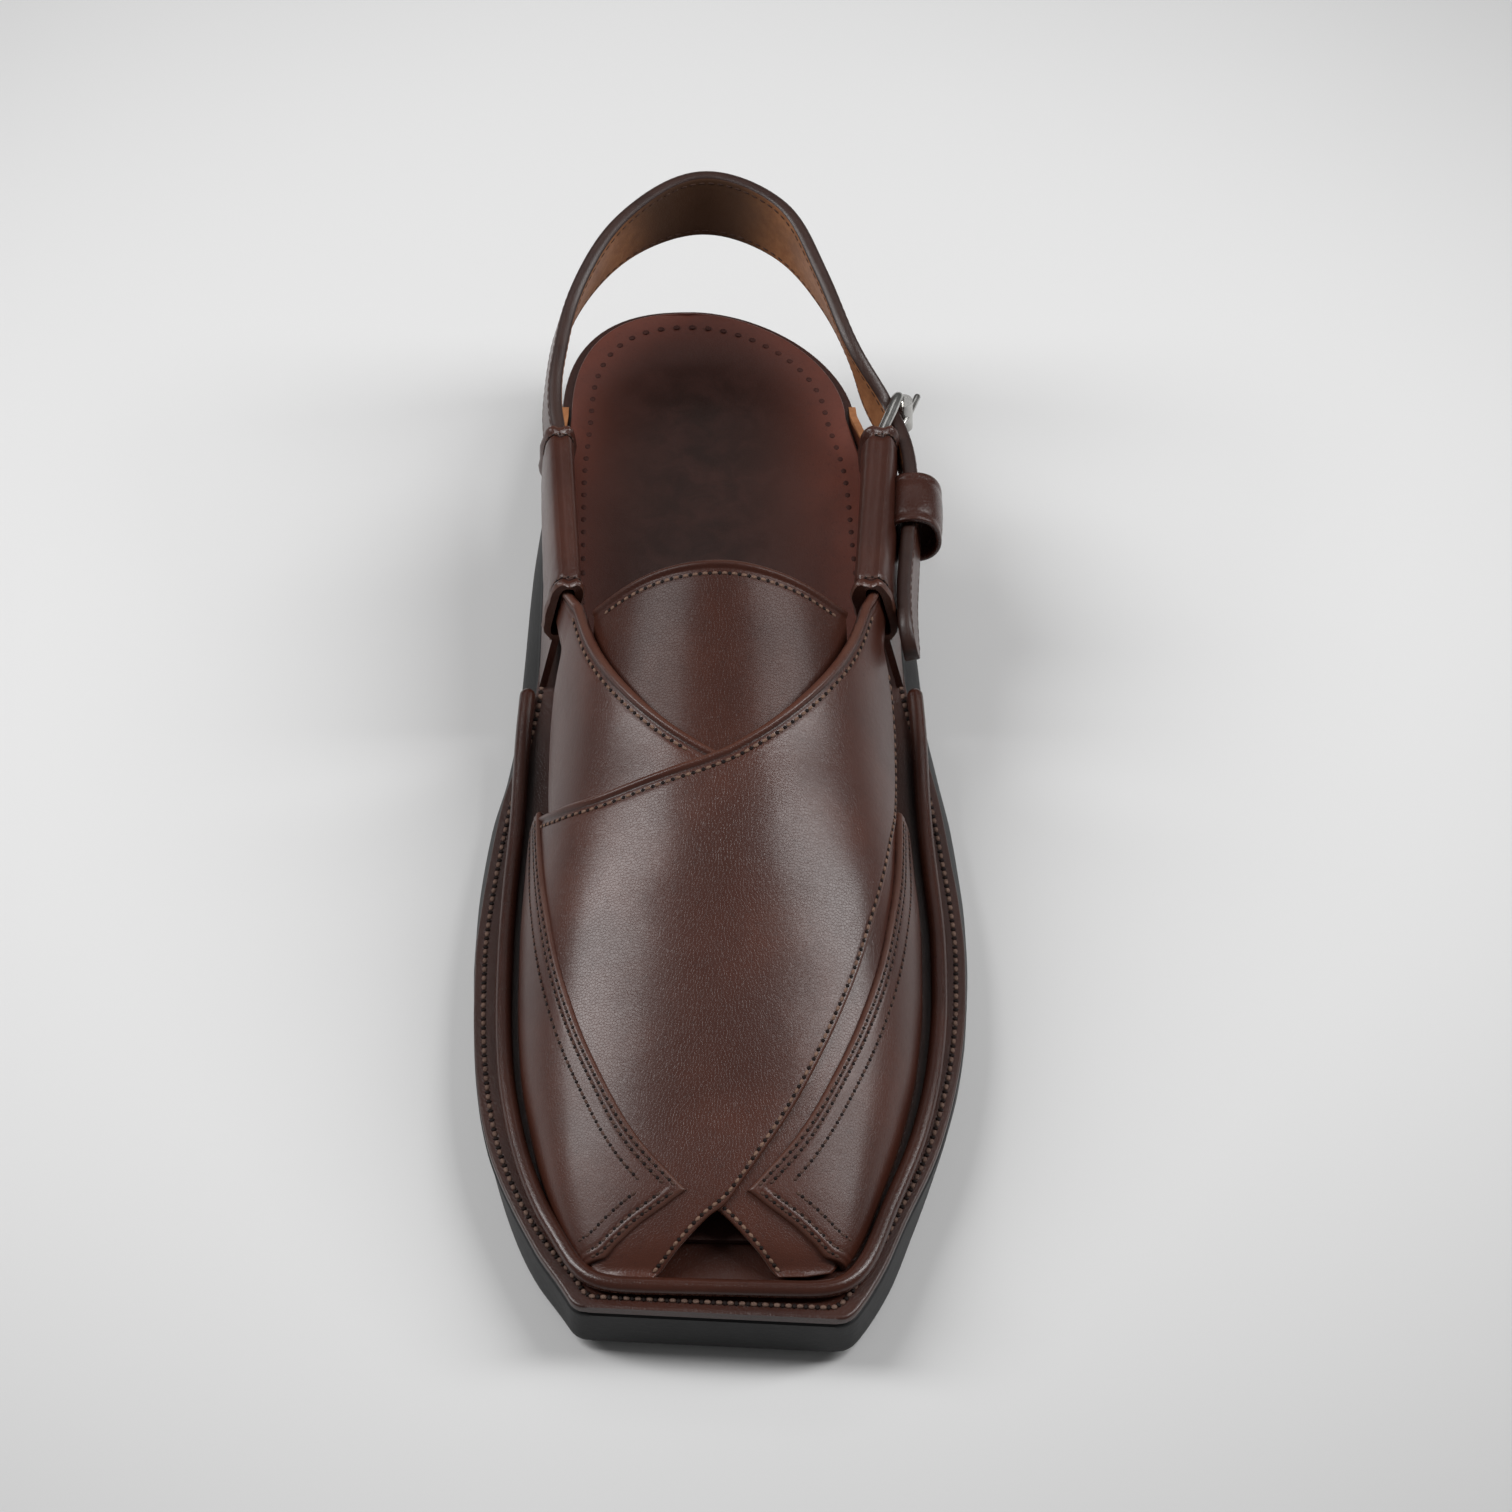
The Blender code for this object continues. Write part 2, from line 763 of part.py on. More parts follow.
def make_tab(name, side):
    """A doubled leather tab, with a sleeve for the strap along its top."""
    low = SLEEVE_TOP - 2 * SLEEVE_WALL - SLOT_HEIGHT
    stations = spread(0.0, 1.0, 8)

    def place(station, width, web_rise, height):
        rise = 1.0 if web_rise is None else web_rise
        rear = -SLEEVE_REAR + (1 - rise) * TAB_HEEL_REACH
        y = mix(rear, -SLEEVE_REAR - SLEEVE_LENGTH, station)
        foot = seat_height(sole_share(y)) + GAP
        z = height if web_rise is None else mix(foot, low, web_rise)
        return Vector((tab_centre(side, y, z) + width, y, z))

    half = tab_section()
    slot_half = (SLING_THICK + SLOT_PLAY) / 2
    slot_levels = [slot_middle() + k * SLOT_HEIGHT for k in (-0.5, -0.15, 0.2, 0.5)]
    bm = bmesh.new()
    ends = []
    for outline in ("outer", "slot"):
        loops = []
        for station in stations:
            if outline == "outer":
                ring = [place(station, -width, rise, z) for width, rise, z in half]
                ring.append(place(station, 0.0, None, SLEEVE_TOP))
                ring += [place(station, width, rise, z) for width, rise, z in half[::-1]]
            else:
                ring = [place(station, -slot_half, None, z) for z in slot_levels]
                ring += [place(station, slot_half, None, z) for z in slot_levels[::-1]]
            loops.append([bm.verts.new(point) for point in ring])
        count = len(loops[0])
        for first, second in zip(loops, loops[1:]):
            for i in range(count):
                j = (i + 1) % count
                bm.faces.new((first[i], first[j], second[j], second[i]))
        ends.append((loops[0], loops[-1]))
    for end in (0, 1):
        edges = []
        for pair in ends:
            loop = pair[end]
            edges += [bm.edges.get((a, b)) for a, b in zip(loop, loop[1:] + loop[:1])]
        bmesh.ops.triangle_fill(bm, use_beauty=True, edges=edges)
    return finish(name, bm, "vamp", 40)


# the heel strap


def sling_rows():
    """Middle, width and up direction of the heel strap at each row of its path."""
    rows = []
    for depth in (1.0, 0.45, 0.0):
        y = -SLEEVE_REAR - depth * SLING_REACH_IN
        z = slot_middle()
        centre = Vector((tab_centre(-1, y, z), y, z))
        rows.append((centre, SLING_WIDTH, slot_lean(-1, y)))
    seat = seat_height(HEEL_ROUND)
    heel = Vector((HEEL_APEX * BALL_WIDTH, 0.0, 0.0))
    data = SLING_PATH
    for i in range(len(data["along"])):
        x = data["across"][i] * BALL_WIDTH
        y = -SLEEVE_REAR + data["along"][i] * SLING_LENGTH
        z = seat + data["rise"][i] * SLING_RISE
        inward = Vector((heel.x - x, heel.y - y, 0.0)).normalized()
        lean = math.radians(data["lean"][i])
        up = Vector((0, 0, math.cos(lean))) + inward * math.sin(lean)
        rows.append((Vector((x, y, z)), data["wide"][i] * SLING_WIDTH, up))
    side_half = (SLING_THICK + SLOT_PLAY) / 2 + SLEEVE_WALL
    data = TAIL_PATH
    for i in range(len(data["along"])):
        y = -SLEEVE_REAR - data["along"][i] * SLING_TAIL
        z = slot_middle() - data["drop"][i] * SLING_WIDTH
        reach = side_half + data["stand"][i] * SLING_THICK
        near = max(y, -SLEEVE_REAR - SLEEVE_LENGTH)
        x = tab_centre(1, near, z) + reach
        rows.append((Vector((x, y, z)), data["wide"][i] * SLING_WIDTH, slot_lean(1, near)))
    return rows


def smooth_rows(rows, steps):
    """Extra rows on a smooth curve through the given ones."""

    def bend(a, b, c, d, t):
        return 0.5 * (
            2 * b + (c - a) * t + (2 * a - 5 * b + 4 * c - d) * t * t
            + (3 * b - a - 3 * c + d) * t * t * t
        )

    result = []
    for i in range(len(rows) - 1):
        four = [rows[max(i - 1, 0)], rows[i], rows[i + 1], rows[min(i + 2, len(rows) - 1)]]
        for j in range(steps):
            t = j / steps
            centre = bend(*(row[0] for row in four), t)
            wide = bend(*(row[1] for row in four), t)
            up = bend(*(row[2] for row in four), t).normalized()
            result.append((centre, wide, up))
    result.append(rows[-1])
    return result


def band_rings(rows, thick):
    """Rings of a flat strap with eased edges along its rows."""
    rings = []
    ease = 0.22 * thick
    for i, (centre, wide, up) in enumerate(rows):
        before = rows[max(i - 1, 0)][0]
        after = rows[min(i + 1, len(rows) - 1)][0]
        ahead = (after - before).normalized()
        out = up.cross(ahead).normalized()
        rise = ahead.cross(out).normalized()
        ring = []
        for across, along in (
            (-thick / 2, -wide / 2 + ease),
            (-thick / 2, wide / 2 - ease),
            (-thick / 2 + ease, wide / 2),
            (thick / 2 - ease, wide / 2),
            (thick / 2, wide / 2 - ease),
            (thick / 2, -wide / 2 + ease),
            (thick / 2 - ease, -wide / 2),
            (-thick / 2 + ease, -wide / 2),
        ):
            ring.append(centre + out * across + rise * along)
        rings.append(ring)
    return rings


def round_rings(points, radius, sides):
    """Rings of a round bar along points that lie in one level plane."""
    rings = []
    for i, point in enumerate(points):
        ahead = (points[min(i + 1, len(points) - 1)] - points[max(i - 1, 0)]).normalized()
        out = Vector((0, 0, 1)).cross(ahead).normalized()
        rise = ahead.cross(out)
        turns = [2 * math.pi * j / sides for j in range(sides)]
        rings.append([point + radius * (out * math.cos(t) + rise * math.sin(t)) for t in turns])
    return rings


def make_sling():
    bm = bmesh.new()
    skin(bm, band_rings(smooth_rows(sling_rows(), 3), SLING_THICK))
    strap = finish("heel_strap", bm, "strap", 50)
    drill = bmesh.new()
    skin(drill, round_rings(prong_path()[1:-1], PRONG_RADIUS + PRONG_PLAY, 10))
    hole = finish("prong_hole", drill, "strap")
    hide(hole)
    cut = strap.modifiers.new("prong_hole", "BOOLEAN")
    cut.operation = "DIFFERENCE"
    cut.solver = "EXACT"
    cut.object = hole
    return strap


def make_billet():
    """The short strap in the lateral sleeve that holds the buckle's hinge bar."""
    rows = []
    hinge = -SLEEVE_REAR - BUCKLE_SET_IN
    start = hinge - WIRE_RADIUS - GAP
    for t in (0.0, 0.5, 1.0):
        y = start - t * BILLET_LENGTH
        centre = Vector((tab_centre(1, y, slot_middle()), y, slot_middle()))
        rows.append((centre, SLING_WIDTH, slot_lean(1, y)))
    bm = bmesh.new()
    skin(bm, band_rings(rows, SLING_THICK - SLOT_PLAY))
    return finish("buckle_strap", bm, "strap", 50)


def buckle_point(along, rise):
    """A place on the buckle's plane: along it from the hinge bar, and up it."""
    hinge = -SLEEVE_REAR - BUCKLE_SET_IN
    y = hinge + along * (BUCKLE_SET_IN + BUCKLE_LENGTH)
    up = slot_lean(1, hinge)
    out = max(0.0, (y + SLEEVE_REAR) / BUCKLE_LENGTH) * BUCKLE_SPLAY
    centre = Vector((tab_centre(1, hinge, slot_middle()) + out, y, slot_middle()))
    return centre + up * (rise * (BUCKLE_HEIGHT / 2 - WIRE_RADIUS))


def make_buckle_frame():
    corners = (
        (0.12, -1), (0.28, -1), (0.6, -1), (0.9, -1), (1.0, -0.8),
        (1.0, 0), (1.0, 0.8), (0.9, 1), (0.6, 1), (0.28, 1), (0.12, 1),
        (0.0, 0.8), (0.0, 0), (0.0, -0.8),
    )
    points = [buckle_point(along, rise) for along, rise in corners]
    return tube("buckle_frame", points, WIRE_RADIUS, "nickel", cyclic=True)


def prong_path():
    """From the hinge bar out of the sleeve, through the strap and over the rear bar."""
    reach = BUCKLE_SET_IN + BUCKLE_LENGTH
    start = (WIRE_RADIUS + GAP + PRONG_RADIUS) / reach
    over = WIRE_RADIUS + GAP + PRONG_RADIUS
    places = ((start, 0.0), (0.3, 0.0), (0.6, 0.25), (0.85, 0.85), (1.0, 1.0), (1.3, 1.1))
    side = Vector((1.0, 0.0, 0.0))
    return [buckle_point(along, 0.0) + side * (out * over) for along, out in places]


def make_prong():
    return tube("buckle_prong", prong_path(), PRONG_RADIUS, "nickel")


def row_at(rows, y):
    """The strap's middle, width and up direction where its tail passes a place along the shoe."""
    tail = [row for row in rows if row[0].x > 0]
    for first, second in zip(tail, tail[1:]):
        if first[0].y >= y > second[0].y:
            t = (first[0].y - y) / (first[0].y - second[0].y)
            return [mix(a, b, t) for a, b in zip(first, second)]
    return tail[-1]


def make_keeper():
    """A leather loop round the strap's tail, standing off it on its outer side."""
    rows = smooth_rows(sling_rows(), 3)
    middle = -SLEEVE_REAR - KEEPER_SET
    turns = 20
    loops = []
    for y, wall in ((-0.5, 0), (-0.5, 1), (0.5, 1), (0.5, 0)):
        centre, wide, up = row_at(rows, middle + y * KEEPER_WIDTH)
        out = Vector((up.z, 0, -up.x))
        loop = []
        for i in range(turns):
            across = math.cos(2 * math.pi * i / turns)
            along = math.sin(2 * math.pi * i / turns)
            bulge = KEEPER_BULGE if across > 0 else 0.0
            reach = SLING_THICK / 2 + 1.5 * GAP + wall * KEEPER_WALL + bulge
            rise = wide / 2 + 4 * GAP + wall * KEEPER_WALL
            across = math.copysign(abs(across) ** 0.5, across) * reach
            along = math.copysign(abs(along) ** 0.6, along) * rise
            loop.append(centre + out * across + up * along)
        loops.append(loop)
    bm = bmesh.new()
    verts = [[bm.verts.new(point) for point in loop] for loop in loops]
    for first, second in zip(verts, verts[1:] + verts[:1]):
        for i in range(turns):
            j = (i + 1) % turns
            bm.faces.new((first[i], first[j], second[j], second[i]))
    return finish("keeper", bm, "strap", 50)


for leftover in list(bpy.data.objects):
    bpy.data.objects.remove(leftover, do_unlink=True)

MATERIALS = {
    "rubber": make_material("rubber", (0.035, 0.034, 0.034), 0.6),
    "welt": make_material("welt", (0.07, 0.03, 0.022), 0.4),
    "insole": make_material("insole", (0.10, 0.035, 0.025), 0.45),
    "vamp": make_material("vamp", (0.085, 0.038, 0.028), 0.35),
    "strap": make_material("strap", (0.075, 0.035, 0.027), 0.4),
    "nickel": make_material("nickel", (0.75, 0.74, 0.72), 0.2, 1.0),
}

make_heel()
make_outsole()
make_midsole()
make_insole()
make_bead()
make_upper()
make_tongue()
make_tab("tab_medial", -1)
make_tab("tab_lateral", 1)
make_sling()
make_billet()
make_buckle_frame()
make_prong()
make_keeper()
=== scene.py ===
import math

import bmesh
import bpy
import numpy as np
from mathutils import Matrix, Vector


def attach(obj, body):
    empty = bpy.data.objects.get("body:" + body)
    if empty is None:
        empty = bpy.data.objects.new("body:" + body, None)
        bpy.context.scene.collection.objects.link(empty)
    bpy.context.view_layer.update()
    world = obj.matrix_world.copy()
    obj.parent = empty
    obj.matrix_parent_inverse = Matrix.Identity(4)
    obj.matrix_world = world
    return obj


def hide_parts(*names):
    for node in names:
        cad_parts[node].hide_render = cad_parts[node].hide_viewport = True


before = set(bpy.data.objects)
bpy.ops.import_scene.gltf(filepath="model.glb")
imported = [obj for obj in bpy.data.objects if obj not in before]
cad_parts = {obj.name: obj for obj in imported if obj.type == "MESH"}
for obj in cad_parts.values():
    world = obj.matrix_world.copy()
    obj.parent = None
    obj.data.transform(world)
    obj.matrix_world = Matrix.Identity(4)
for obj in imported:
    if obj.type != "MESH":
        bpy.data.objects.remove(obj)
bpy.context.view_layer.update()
mm = 0.001

# Toe along -Y, heel along +Y, buckle side +X. The leather is laid on the same last as the solids.

sole = {
    "length": 284.8 * mm,
    "ballWidth": 106.4 * mm,
    "heelLength": 76.0 * mm,
    "heelHeight": 13.0 * mm,
    "toeSpring": 3.0 * mm,
    "toeSkew": 2.9 * mm,
    "outsoleThick": 11.7 * mm,
    "midsoleThick": 2.5 * mm,
    "insoleThick": 1.8 * mm,
    "flare": 5.6 * mm,
    "gap": 0.3 * mm,
    "heelRound": 0.135,
    "heelApex": -0.075,
    "heelPower": {-1: 2.6, 1: 1.8},
    "groovePitch": 12.5 * mm,
    "grooveWidth": 3.0 * mm,
    "grooveDepth": 1.2 * mm,
}
outline = {
    "share": [0.135, 0.21, 0.28, 0.35, 0.42, 0.47, 0.52, 0.57, 0.62, 0.668, 0.716, 0.763,
              0.809, 0.854, 0.9, 0.943, 0.98, 1.0],
    "medial": [0.376, 0.393, 0.402, 0.404, 0.407, 0.424, 0.457, 0.477, 0.491, 0.499, 0.497,
               0.49, 0.475, 0.449, 0.414, 0.369, 0.313, 0.284],
    "lateral": [0.309, 0.354, 0.382, 0.399, 0.408, 0.43, 0.458, 0.477, 0.493, 0.501, 0.498,
                0.486, 0.462, 0.429, 0.391, 0.351, 0.3, 0.264],
}
feather = {
    "share": [0.135, 0.21, 0.28, 0.35, 0.42, 0.5, 0.55, 0.6, 0.667, 0.716, 0.78, 0.84, 0.89,
              0.93, 0.95, 0.9635],
    "medial": [0.357, 0.368, 0.365, 0.363, 0.364, 0.367, 0.371, 0.379, 0.384, 0.383, 0.373,
               0.346, 0.312, 0.273, 0.246, 0.224],
    "lateral": [0.29, 0.334, 0.346, 0.36, 0.364, 0.367, 0.372, 0.382, 0.393, 0.392, 0.377,
                0.343, 0.301, 0.264, 0.238, 0.216],
}
rubberFlare = {
    "share": [0.0, 0.14, 0.24, 0.34, 0.45, 0.57, 0.66, 0.74, 0.82, 0.9, 1.0],
    "flare": [0.3, 0.35, 0.52, 0.78, 1.0, 0.9, 0.62, 0.44, 0.26, 0.14, 0.0],
}
tread = {
    "share": [0.0, 0.27, 0.35, 0.45, 0.54, 0.59, 0.84, 0.92, 1.0],
    "heel": [1.0, 1.0, 0.72, 0.3, 0.05, 0.0, 0.0, 0.0, 0.0],
    "spring": [0.0, 0.0, 0.0, 0.0, 0.0, 0.0, 0.0, 0.35, 1.0],
}
crown = {
    "instep": 54.0 * mm,
    "share": [0.38, 0.432, 0.5, 0.55, 0.6, 0.667, 0.716, 0.78, 0.84, 0.89, 0.93, 0.95, 0.9635],
    "height": [1.04, 1.0, 0.911, 0.835, 0.762, 0.655, 0.556, 0.435, 0.326, 0.23, 0.138, 0.078,
               0.012],
    "fullness": [2.1, 2.1, 2.15, 2.2, 2.25, 2.3, 2.35, 2.4, 2.5, 2.6, 2.7, 2.8, 2.9],
}


# Smooth reading of a table, without overshoot, at many places at once.
def readCurve(xs, ys, places):
    xs = np.asarray(xs, float)
    ys = np.asarray(ys, float)
    slopes = np.diff(ys) / np.diff(xs)
    tangents = np.empty(len(xs))
    tangents[0] = slopes[0]
    tangents[-1] = slopes[-1]
    products = slopes[:-1] * slopes[1:]
    sums = np.where(products > 0, slopes[:-1] + slopes[1:], 1.0)
    tangents[1:-1] = np.where(products > 0, 2 * products / sums, 0.0)
    places = np.clip(places, xs[0], xs[-1])
    i = np.clip(np.searchsorted(xs, places, side="right") - 1, 0, len(xs) - 2)
    span = xs[i + 1] - xs[i]
    t = (places - xs[i]) / span
    return (
        (1 + 2 * t) * (1 - t) ** 2 * ys[i]
        + t * (1 - t) ** 2 * span * tangents[i]
        + t * t * (3 - 2 * t) * ys[i + 1]
        + t * t * (t - 1) * span * tangents[i + 1]
    )


def readTable(data, column, places, key="share"):
    return readCurve(data[key], data[column], places)


def mix(a, b, t):
    return a + (b - a) * t


def ramp(x):
    x = np.clip(x, 0.0, 1.0)
    return x * x * (3 - 2 * x)


def lengths(points):
    steps = np.linalg.norm(np.diff(points, axis=0), axis=1)
    return np.concatenate(([0.0], np.cumsum(steps)))


# Even spacing along a line of points.
def evenly(points, pitch=None, count=None, start=0.0, end=None):
    points = np.asarray(points, float)
    run = lengths(points)
    end = run[-1] if end is None else end
    if count is None:
        count = max(2, int(round((end - start) / pitch)) + 1)
    wanted = np.linspace(start, end, count)
    return np.stack([np.interp(wanted, run, points[:, k]) for k in range(points.shape[1])], 1)


def catmull(points, steps):
    points = np.asarray(points, float)
    result = []
    last = len(points) - 1
    for i in range(last):
        a, b, c, d = (points[max(i - 1, 0)], points[i], points[i + 1], points[min(i + 2, last)])
        for t in np.arange(steps) / steps:
            result.append(0.5 * (2 * b + (c - a) * t + (2 * a - 5 * b + 4 * c - d) * t * t
                                 + (3 * b - a - 3 * c + d) * t ** 3))
    result.append(points[-1])
    return np.array(result)


# --- meshes


# A grid of points as a surface. Seams and poles, where points meet, are welded.
def gridMesh(points, marks=None, weld=1e-6, cap=False):
    points = np.asarray(points, float)
    rows, columns = points.shape[:2]
    bm = bmesh.new()
    bmesh.ops.create_grid(bm, x_segments=rows - 1, y_segments=columns - 1, size=1.0)
    layers = {}
    for name in marks or {}:
        layers[name] = bm.verts.layers.float.new(name)
    for vert in bm.verts:
        i = int(round((vert.co.x + 1) / 2 * (rows - 1)))
        j = int(round((vert.co.y + 1) / 2 * (columns - 1)))
        for name, layer in layers.items():
            vert[layer] = float(marks[name][i, j])
        vert.co = points[i, j]
    bmesh.ops.remove_doubles(bm, verts=bm.verts[:], dist=weld)
    if cap:
        rim = [edge for edge in bm.edges if edge.is_boundary]
        filled = bmesh.ops.holes_fill(bm, edges=rim, sides=0)
        bmesh.ops.triangulate(bm, faces=filled["faces"])
    bmesh.ops.recalc_face_normals(bm, faces=bm.faces[:])
    return bm


def addPiece(name, bm, material, nodes=(), smooth=True, sharp=None):
    mesh = bpy.data.meshes.new(name)
    bm.to_mesh(mesh)
    bm.free()
    if smooth:
        mesh.shade_smooth()
    if sharp:
        mesh.set_sharp_from_angle(angle=math.radians(sharp))
    mesh.materials.append(material)
    piece = bpy.data.objects.new(name, mesh)
    bpy.context.scene.collection.objects.link(piece)
    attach(piece, "root")
    if nodes:
        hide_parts(*nodes)
    return piece


# A round bar along a line of points.
def barPoints(path, radius, sides, closed=False, up=(0, 0, 1)):
    path = np.asarray(path, float)
    if closed:
        ahead = np.roll(path, -1, 0) - np.roll(path, 1, 0)
    else:
        ahead = np.gradient(path, axis=0)
    ahead /= np.linalg.norm(ahead, axis=1)[:, None]
    out = np.cross(np.asarray(up, float), ahead)
    out /= np.linalg.norm(out, axis=1)[:, None]
    rise = np.cross(ahead, out)
    turns = np.linspace(0, 2 * np.pi, sides + 1)
    radius = np.broadcast_to(np.asarray(radius, float), (len(path),))
    rings = (path[:, None, :]
             + radius[:, None, None] * (np.cos(turns)[None, :, None] * out[:, None, :]
                                        + np.sin(turns)[None, :, None] * rise[:, None, :]))
    rings[:, -1] = rings[:, 0]
    if closed:
        rings = np.concatenate((rings, rings[:1]), 0)
    return rings


# Ends of a bar drawn in to a point over a rounded nose.
def roundEnds(path, radius, steps=5):
    path = np.asarray(path, float)
    first = path[0] - path[1]
    last = path[-1] - path[-2]
    first /= np.linalg.norm(first)
    last /= np.linalg.norm(last)
    turns = np.linspace(np.pi / 2, 0, steps + 1)[:-1]
    lead = [path[0] + first * radius * math.sin(t) for t in turns]
    tail = [path[-1] + last * radius * math.sin(t) for t in turns[::-1]]
    radii = ([radius * math.cos(t) for t in turns] + [radius] * len(path)
             + [radius * math.cos(t) for t in turns[::-1]])
    return np.array(lead + list(path) + tail), np.array(radii)


stitch = {
    "share": 0.74,  # of the pitch that shows as thread
    "width": 0.62 * mm,
    "height": 0.46 * mm,
}


# Thread lying along a line on the leather. Places and normals come evenly spaced.
def addStitches(name, rows, material, width=None, height=None, share=None):
    width = width or stitch["width"]
    height = height or stitch["height"]
    share = share or stitch["share"]
    whole = bmesh.new()
    for places, normals in rows:
        bm = bmesh.new()
        for i in range(len(places) - 1):
            a = Vector(places[i])
            b = Vector(places[i + 1])
            span = b - a
            if span.length < 1e-5:
                continue
            normal = Vector((normals[i] + normals[i + 1]) / 2).normalized()
            along = span.normalized()
            side = normal.cross(along).normalized()
            rise = along.cross(side)
            middle = (a + b) / 2 + rise * height * 0.1
            size = (span.length * share / 2, width / 2, height / 2)
            place = Matrix.Translation(middle) @ Matrix(
                [[along[k] * size[0], side[k] * size[1], rise[k] * size[2], 0] for k in range(3)]
                + [[0, 0, 0, 1]])
            bmesh.ops.create_uvsphere(bm, u_segments=8, v_segments=5, radius=1.0, matrix=place)
        mesh = bpy.data.meshes.new("row")
        bm.to_mesh(mesh)
        bm.free()
        whole.from_mesh(mesh)
        bpy.data.meshes.remove(mesh)
    bmesh.ops.recalc_face_normals(whole, faces=whole.faces[:])
    return addPiece(name, whole, material)


# A seam: its thread, and a near-black mark where each stitch goes in, painted shade standing for the awl
# hole.
def addSeam(name, rows, thread, width=None, height=None, share=0.62):
    addStitches(name, rows, thread, width, height, share)
    holeShades = []
    for places, normals in rows:
        holeShades.append(((places[1:] + places[:-1]) / 2, (normals[1:] + normals[:-1]) / 2))
    addStitches(name + "Holes", holeShades, holeShade, 1.15 * (width or stitch["width"]),
                0.85 * (height or stitch["height"]), 0.40)


# --- shader maths


class Wire:
    def __init__(self, tree, socket=None):
        self.tree = tree
        self.socket = socket

    def node(self, kind, settings=None, inputs=None, output=0):
        made = self.tree.nodes.new(kind)
        for name, value in (settings or {}).items():
            if name == "stops":
                elements = made.color_ramp.elements
                while len(elements) < len(value):
                    elements.new(0.5)
                for element, (place, color) in zip(elements, value):
                    element.position = place
                    element.color = (*color, 1.0)
            else:
                setattr(made, name, value)
        for name, value in (inputs or {}).items():
            if isinstance(value, Wire):
                self.tree.links.new(value.socket, made.inputs[name])
            else:
                made.inputs[name].default_value = value
        return Wire(self.tree, made.outputs[output])

    def maths(self, operation, left, right=0.0):
        return self.node("ShaderNodeMath", {"operation": operation}, {0: left, 1: right})

    def __add__(self, other):
        return self.maths("ADD", self, other)

    def __radd__(self, other):
        return self.maths("ADD", other, self)

    def __sub__(self, other):
        return self.maths("SUBTRACT", self, other)

    def __rsub__(self, other):
        return self.maths("SUBTRACT", other, self)

    def __mul__(self, other):
        return self.maths("MULTIPLY", self, other)

    def __rmul__(self, other):
        return self.maths("MULTIPLY", other, self)

    def __truediv__(self, other):
        return self.maths("DIVIDE", self, other)

    def __rtruediv__(self, other):
        return self.maths("DIVIDE", other, self)

    def step(self, low, high):
        return self.node("ShaderNodeMapRange", {"interpolation_type": "SMOOTHSTEP"},
                         {"Value": self, "From Min": low, "From Max": high})

    def blend(self, low, high):
        ends = {0: self}
        for place, color in ((6, low), (7, high)):
            ends[place] = color if isinstance(color, Wire) else (*color, 1.0)
        return self.node("ShaderNodeMix", {"data_type": "RGBA"}, ends, 2)

    def scaled(self, size):
        return self.node("ShaderNodeVectorMath", {"operation": "MULTIPLY"}, {0: self, 1: size})

    def noise(self, scale, detail=2.0, rough=0.5, twist=0.0):
        return self.node("ShaderNodeTexNoise", {}, {
            "Vector": self, "Scale": scale, "Detail": detail, "Roughness": rough,
            "Distortion": twist})

    def cells(self, scale, feature="DISTANCE_TO_EDGE", jitter=1.0):
        return self.node("ShaderNodeTexVoronoi", {"feature": feature},
                         {"Vector": self, "Scale": scale, "Randomness": jitter})

    def parts(self):
        split = self.node("ShaderNodeSeparateXYZ", {}, {0: self})
        owner = split.socket.node
        return [Wire(self.tree, owner.outputs[k]) for k in range(3)]


# A new material: its wire, the object's own coordinates and a way to set the shader.
def newMaterial(name, **fixed):
    material = bpy.data.materials.new(name)
    material.use_nodes = True
    tree = material.node_tree
    shader = tree.nodes["Principled BSDF"]
    for key, value in fixed.items():
        shader.inputs[key.replace("_", " ")].default_value = value
    wire = Wire(tree)
    place = wire.node("ShaderNodeTexCoord", {}, {}, 3)
    return material, shader, wire, place


def plug(shader, color=None, roughness=None, normal=None, coat=None, metallic=None):
    for key, value in (("Base Color", color), ("Roughness", roughness), ("Normal", normal),
                       ("Coat Weight", coat), ("Metallic", metallic)):
        if value is not None:
            value.tree.links.new(value.socket, shader.inputs[key])


def bumpOf(height, distance, strength=1.0):
    return height.node("ShaderNodeBump", {}, {
        "Height": height, "Distance": distance, "Strength": strength})


# --- leathers


leather = {
    "color": (0.050, 0.0145, 0.0088),
    "deep": (0.020, 0.0066, 0.0046),
    "warm": (0.076, 0.0225, 0.0130),
    "worn": (0.125, 0.054, 0.036),
    "roughness": 0.33,
    "pores": 1500.0,
    "grain": 620.0,
}


